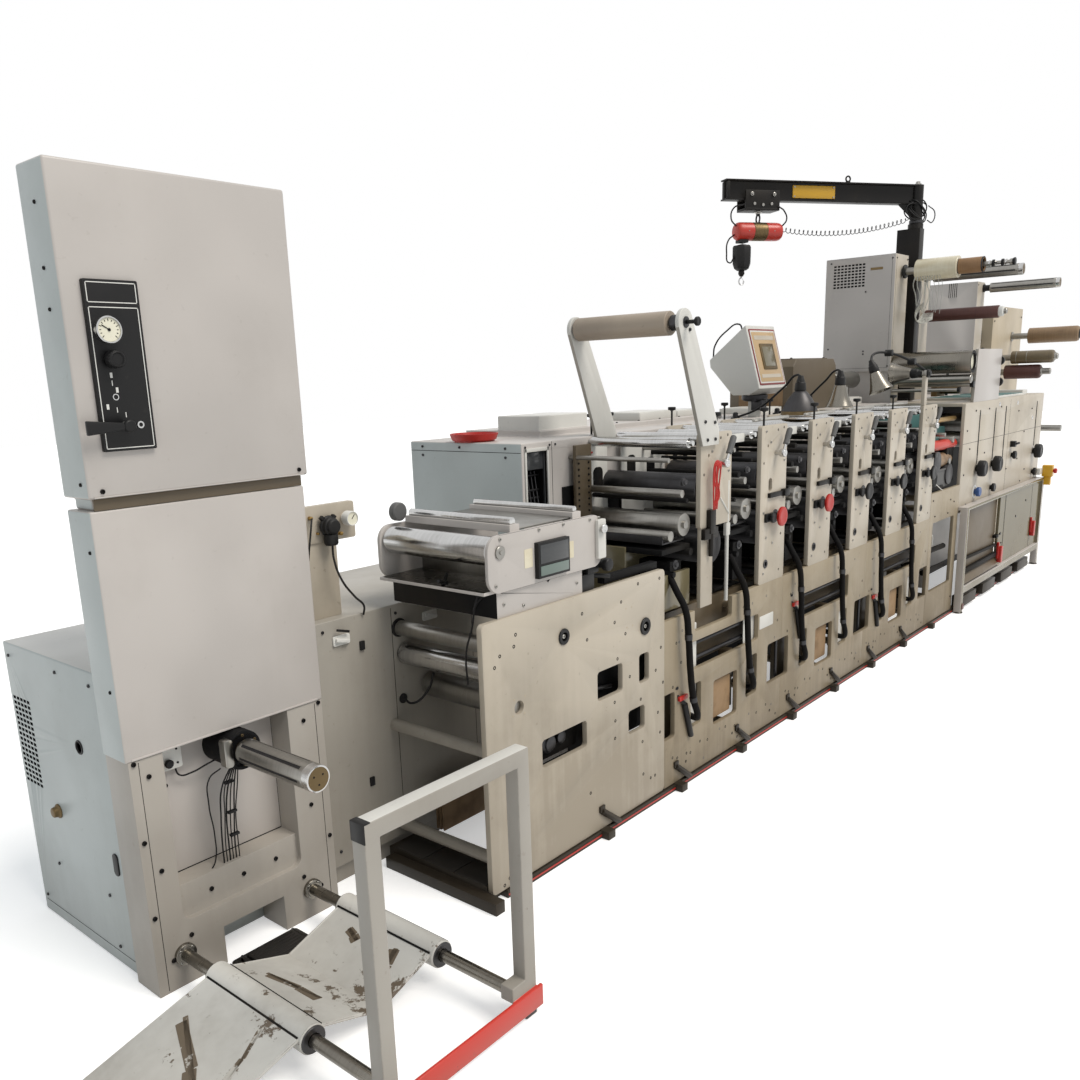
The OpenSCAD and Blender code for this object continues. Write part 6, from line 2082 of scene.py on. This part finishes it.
def equipment_control_box():
    """The leaning control box with its blank screen."""
    softened("control_box", "white_paint", 4.0, segments=3)
    lean = -15.2
    foot = (3598, 420, 1510)
    layers = (("border", "maroon_line", 417, 421, (3458, 1528, 3738, 1814, 6)),
              ("margin", "white_paint", 416, 418.5, (3466, 1536, 3730, 1806, 5)),
              ("face", "tan_face", 415, 417.5, (3474, 1544, 3722, 1798, 4)),
              ("screen_frame", "bronze", 411, 416, (3530, 1606, 3676, 1738, 5)),
              ("screen", "olive_pane", 410, 413, (3548, 1622, 3658, 1722, 3)))
    for part, finish, y0, y1, (x0, z0, x1, z1, radius) in layers:
        sheet = turn(plate(x0, y0, z0, x1, y1, z1, radius), lean, "X", foot)
        piece("control_box_" + part, [sheet], finish, 0.5)
    strips = [plate(3492, 414.2, 1758, 3704, 416, 1780, 3), plate(3492, 414.2, 1564, 3704, 416, 1582, 3)]
    piece("control_box_blank_strips", [turn(strip, lean, "X", foot) for strip in strips], "cream_paint", 0)
    handle = wire([(3456, 528, 1800), (3450, 542, 1828), (3446, 610, 1800), (3446, 676, 1730),
                   (3456, 690, 1674)], 8)
    piece("control_box_cable", [handle], "black_plastic", 0)
    swivel = [turned((3598, 525, 1446), UP, [(0, 100), (8, 130), (30, 134), (34, 120)], 32)]
    swivel += [block(3570, 470, 1400, 3626, 530, 1474), rod((3540, 500, 1452), (3656, 500, 1452), 22, 16)]
    piece("control_box_swivel", swivel, "dark_steel", 2.0)


def equipment_drive_box():
    """The drive box with its lid and the drum beside it."""
    low, high = span("drive_box")
    # taupe is the box's brown grey darkened as painted shade
    softened("drive_box", "taupe_paint", 3.0, segments=3)
    lid = [plate(low.x + 56, low.y + 30, high.z - 2, high.x - 56, high.y - 30, high.z + 6, 10, "Z")]
    piece("drive_box_lid", lid, "taupe_paint", 2.0)
    side = [plate(low.x - 2, low.y + 60, low.z + 30, low.x + 1, high.y - 60, low.z + 190, 8, "X")]
    piece("drive_box_side_cover", side, "brown_board", 0.8)
    bolts = [(x, y, high.z + 6) for x in (low.x + 76, high.x - 76) for y in (low.y + 50, high.y - 50)]
    piece("drive_box_bolts", screws(bolts, UP), "dark_steel", 0)
    drum = [turned((4960, 700, 1520), RIGHT, [(0, 100), (4, 108), (360, 108), (364, 100)], 40),
            turned((5180, 694, 1365), UP, [(0, 60), (140, 60)], 24)]
    piece("print_drive_cylinder", drum, "steel", 0)


class PRESS_OT_small_equipment(bpy.types.Operator):
    """Builds the work lamps with their arms, the control box and the drive box"""

    bl_idname = "press.small_equipment"
    bl_label = "Lamps and boxes"

    def execute(self, context):
        equipment_lamps()
        equipment_control_box()
        equipment_drive_box()
        return {"FINISHED"}


# ---- Stage ----


def seen_rays(w):
    """1 for rays that show a surface directly, in a reflection or through glass."""
    path = w.add("ShaderNodeLightPath").outputs
    mirrored = w.math("MAXIMUM", path["Is Glossy Ray"], path["Is Transmission Ray"])
    return w.math("MAXIMUM", path["Is Camera Ray"], mirrored)


def stage_camera(scene):
    """The camera at the press's own viewing place."""
    camera = bpy.data.cameras.new("camera")
    camera.lens = 31.61
    camera.shift_x = 0.0157
    camera.shift_y = 0.0632
    obj = bpy.data.objects.new("camera", camera)
    obj.location = at(-1030, -1840, 1600)
    obj.rotation_euler = [math.radians(angle) for angle in (76.387, 1.9244, -49.564)]
    scene.collection.objects.link(obj)
    scene.camera = obj


def stage_floor():
    """The pale floor, lifted towards white where it shows directly."""
    bpy.ops.mesh.primitive_plane_add(size=60, location=at(4000, 400, -0.6))
    floor = only(bpy.context.object)
    floor.name = "floor"
    w, shader = blank_finish("floor_pale", Roughness=0.9, Specular_IOR_Level=0.0)
    shader["Base Color"].default_value = (0.80, 0.80, 0.80, 1.0)
    matt = shader["Base Color"].node.outputs[0]
    out = [node for node in w.tree.nodes if node.type == "OUTPUT_MATERIAL"][0]
    glow = w.add("ShaderNodeEmission", Color=(1.0, 1.0, 1.0, 1.0), Strength=0.42)
    lifted = w.add("ShaderNodeAddShader")
    w.link(matt, lifted.inputs[0])
    w.link(glow.outputs[0], lifted.inputs[1])
    blend = w.add("ShaderNodeMixShader")
    w.link(seen_rays(w), blend.inputs[0])
    w.link(matt, blend.inputs[1])
    w.link(lifted.outputs[0], blend.inputs[2])
    w.link(blend.outputs[0], out.inputs["Surface"])
    floor.data.materials.append(FINISH["floor_pale"])


def stage_world(scene):
    """Soft light from all around, with a white backdrop."""
    world = bpy.data.worlds.new("soft light")
    world.use_nodes = True
    world.node_tree.nodes.clear()
    w = Wiring(world.node_tree)
    ambient = w.add("ShaderNodeBackground", Color=(0.88, 0.95, 1.0, 1.0), Strength=0.48)
    white = w.add("ShaderNodeBackground", Color=(1.0, 1.0, 1.0, 1.0), Strength=1.0)
    mixed = w.add("ShaderNodeMixShader")
    w.link(seen_rays(w), mixed.inputs[0])
    w.link(ambient.outputs[0], mixed.inputs[1])
    w.link(white.outputs[0], mixed.inputs[2])
    w.add("ShaderNodeOutputWorld", Surface=mixed.outputs[0])
    scene.world = world


def stage_key(context):
    """The key light."""
    sun = bpy.data.lights.new("key", "SUN")
    sun.energy = 2.4
    sun.color = (1.0, 0.95, 0.88)
    sun.angle = context.scene.press_sizes.key_width
    obj = bpy.data.objects.new("key", sun)
    obj.rotation_euler = Vector((-0.15, 0.7, -1.0)).to_track_quat("-Z", "Y").to_euler()
    context.scene.collection.objects.link(obj)


class PRESS_OT_stage(bpy.types.Operator):
    """Sets the camera, the floor, the backdrop light and the key light"""

    bl_idname = "press.stage"
    bl_label = "Stage"

    def execute(self, context):
        scene = context.scene
        scene.view_settings.view_transform = "Standard"
        stage_camera(scene)
        stage_floor()
        stage_world(scene)
        stage_key(context)
        return {"FINISHED"}


# ---- Panel and registration ----

BUILD_ORDER = (
    PRESS_OT_finishes,
    PRESS_OT_stage,
    PRESS_OT_jib_crane,
    PRESS_OT_unwind_tower,
    PRESS_OT_side_cabinet,
    PRESS_OT_roll_loader,
    PRESS_OT_gear_side,
    PRESS_OT_infeed,
    PRESS_OT_idler_arms,
    PRESS_OT_base_frames,
    PRESS_OT_stations,
    PRESS_OT_die_section,
    PRESS_OT_finishing,
    PRESS_OT_rewind,
    PRESS_OT_small_equipment,
)


class PRESS_PT_build(bpy.types.Panel):
    """Lists the build steps of the press with its colours and sizes"""

    bl_label = "Label press"
    bl_idname = "PRESS_PT_build"
    bl_space_type = "VIEW_3D"
    bl_region_type = "UI"
    bl_category = "Press"

    def draw(self, context):
        layout = self.layout
        for group in (context.scene.press_colours, context.scene.press_sizes):
            column = layout.column(align=True)
            for name in group.__annotations__:
                column.prop(group, name)
        for step in BUILD_ORDER:
            layout.operator(step.bl_idname)


CLASSES = (PressColours, PressSizes) + BUILD_ORDER + (PRESS_PT_build,)


def register():
    for cls in CLASSES:
        bpy.utils.register_class(cls)
    bpy.types.Scene.press_colours = bpy.props.PointerProperty(type=PressColours)
    bpy.types.Scene.press_sizes = bpy.props.PointerProperty(type=PressSizes)


def unregister():
    del bpy.types.Scene.press_sizes
    del bpy.types.Scene.press_colours
    for cls in reversed(CLASSES):
        bpy.utils.unregister_class(cls)


def main():
    register()
    for step in BUILD_ORDER:
        group, name = step.bl_idname.split(".")
        getattr(getattr(bpy.ops, group), name)()


if __name__ == "__main__":
    main()
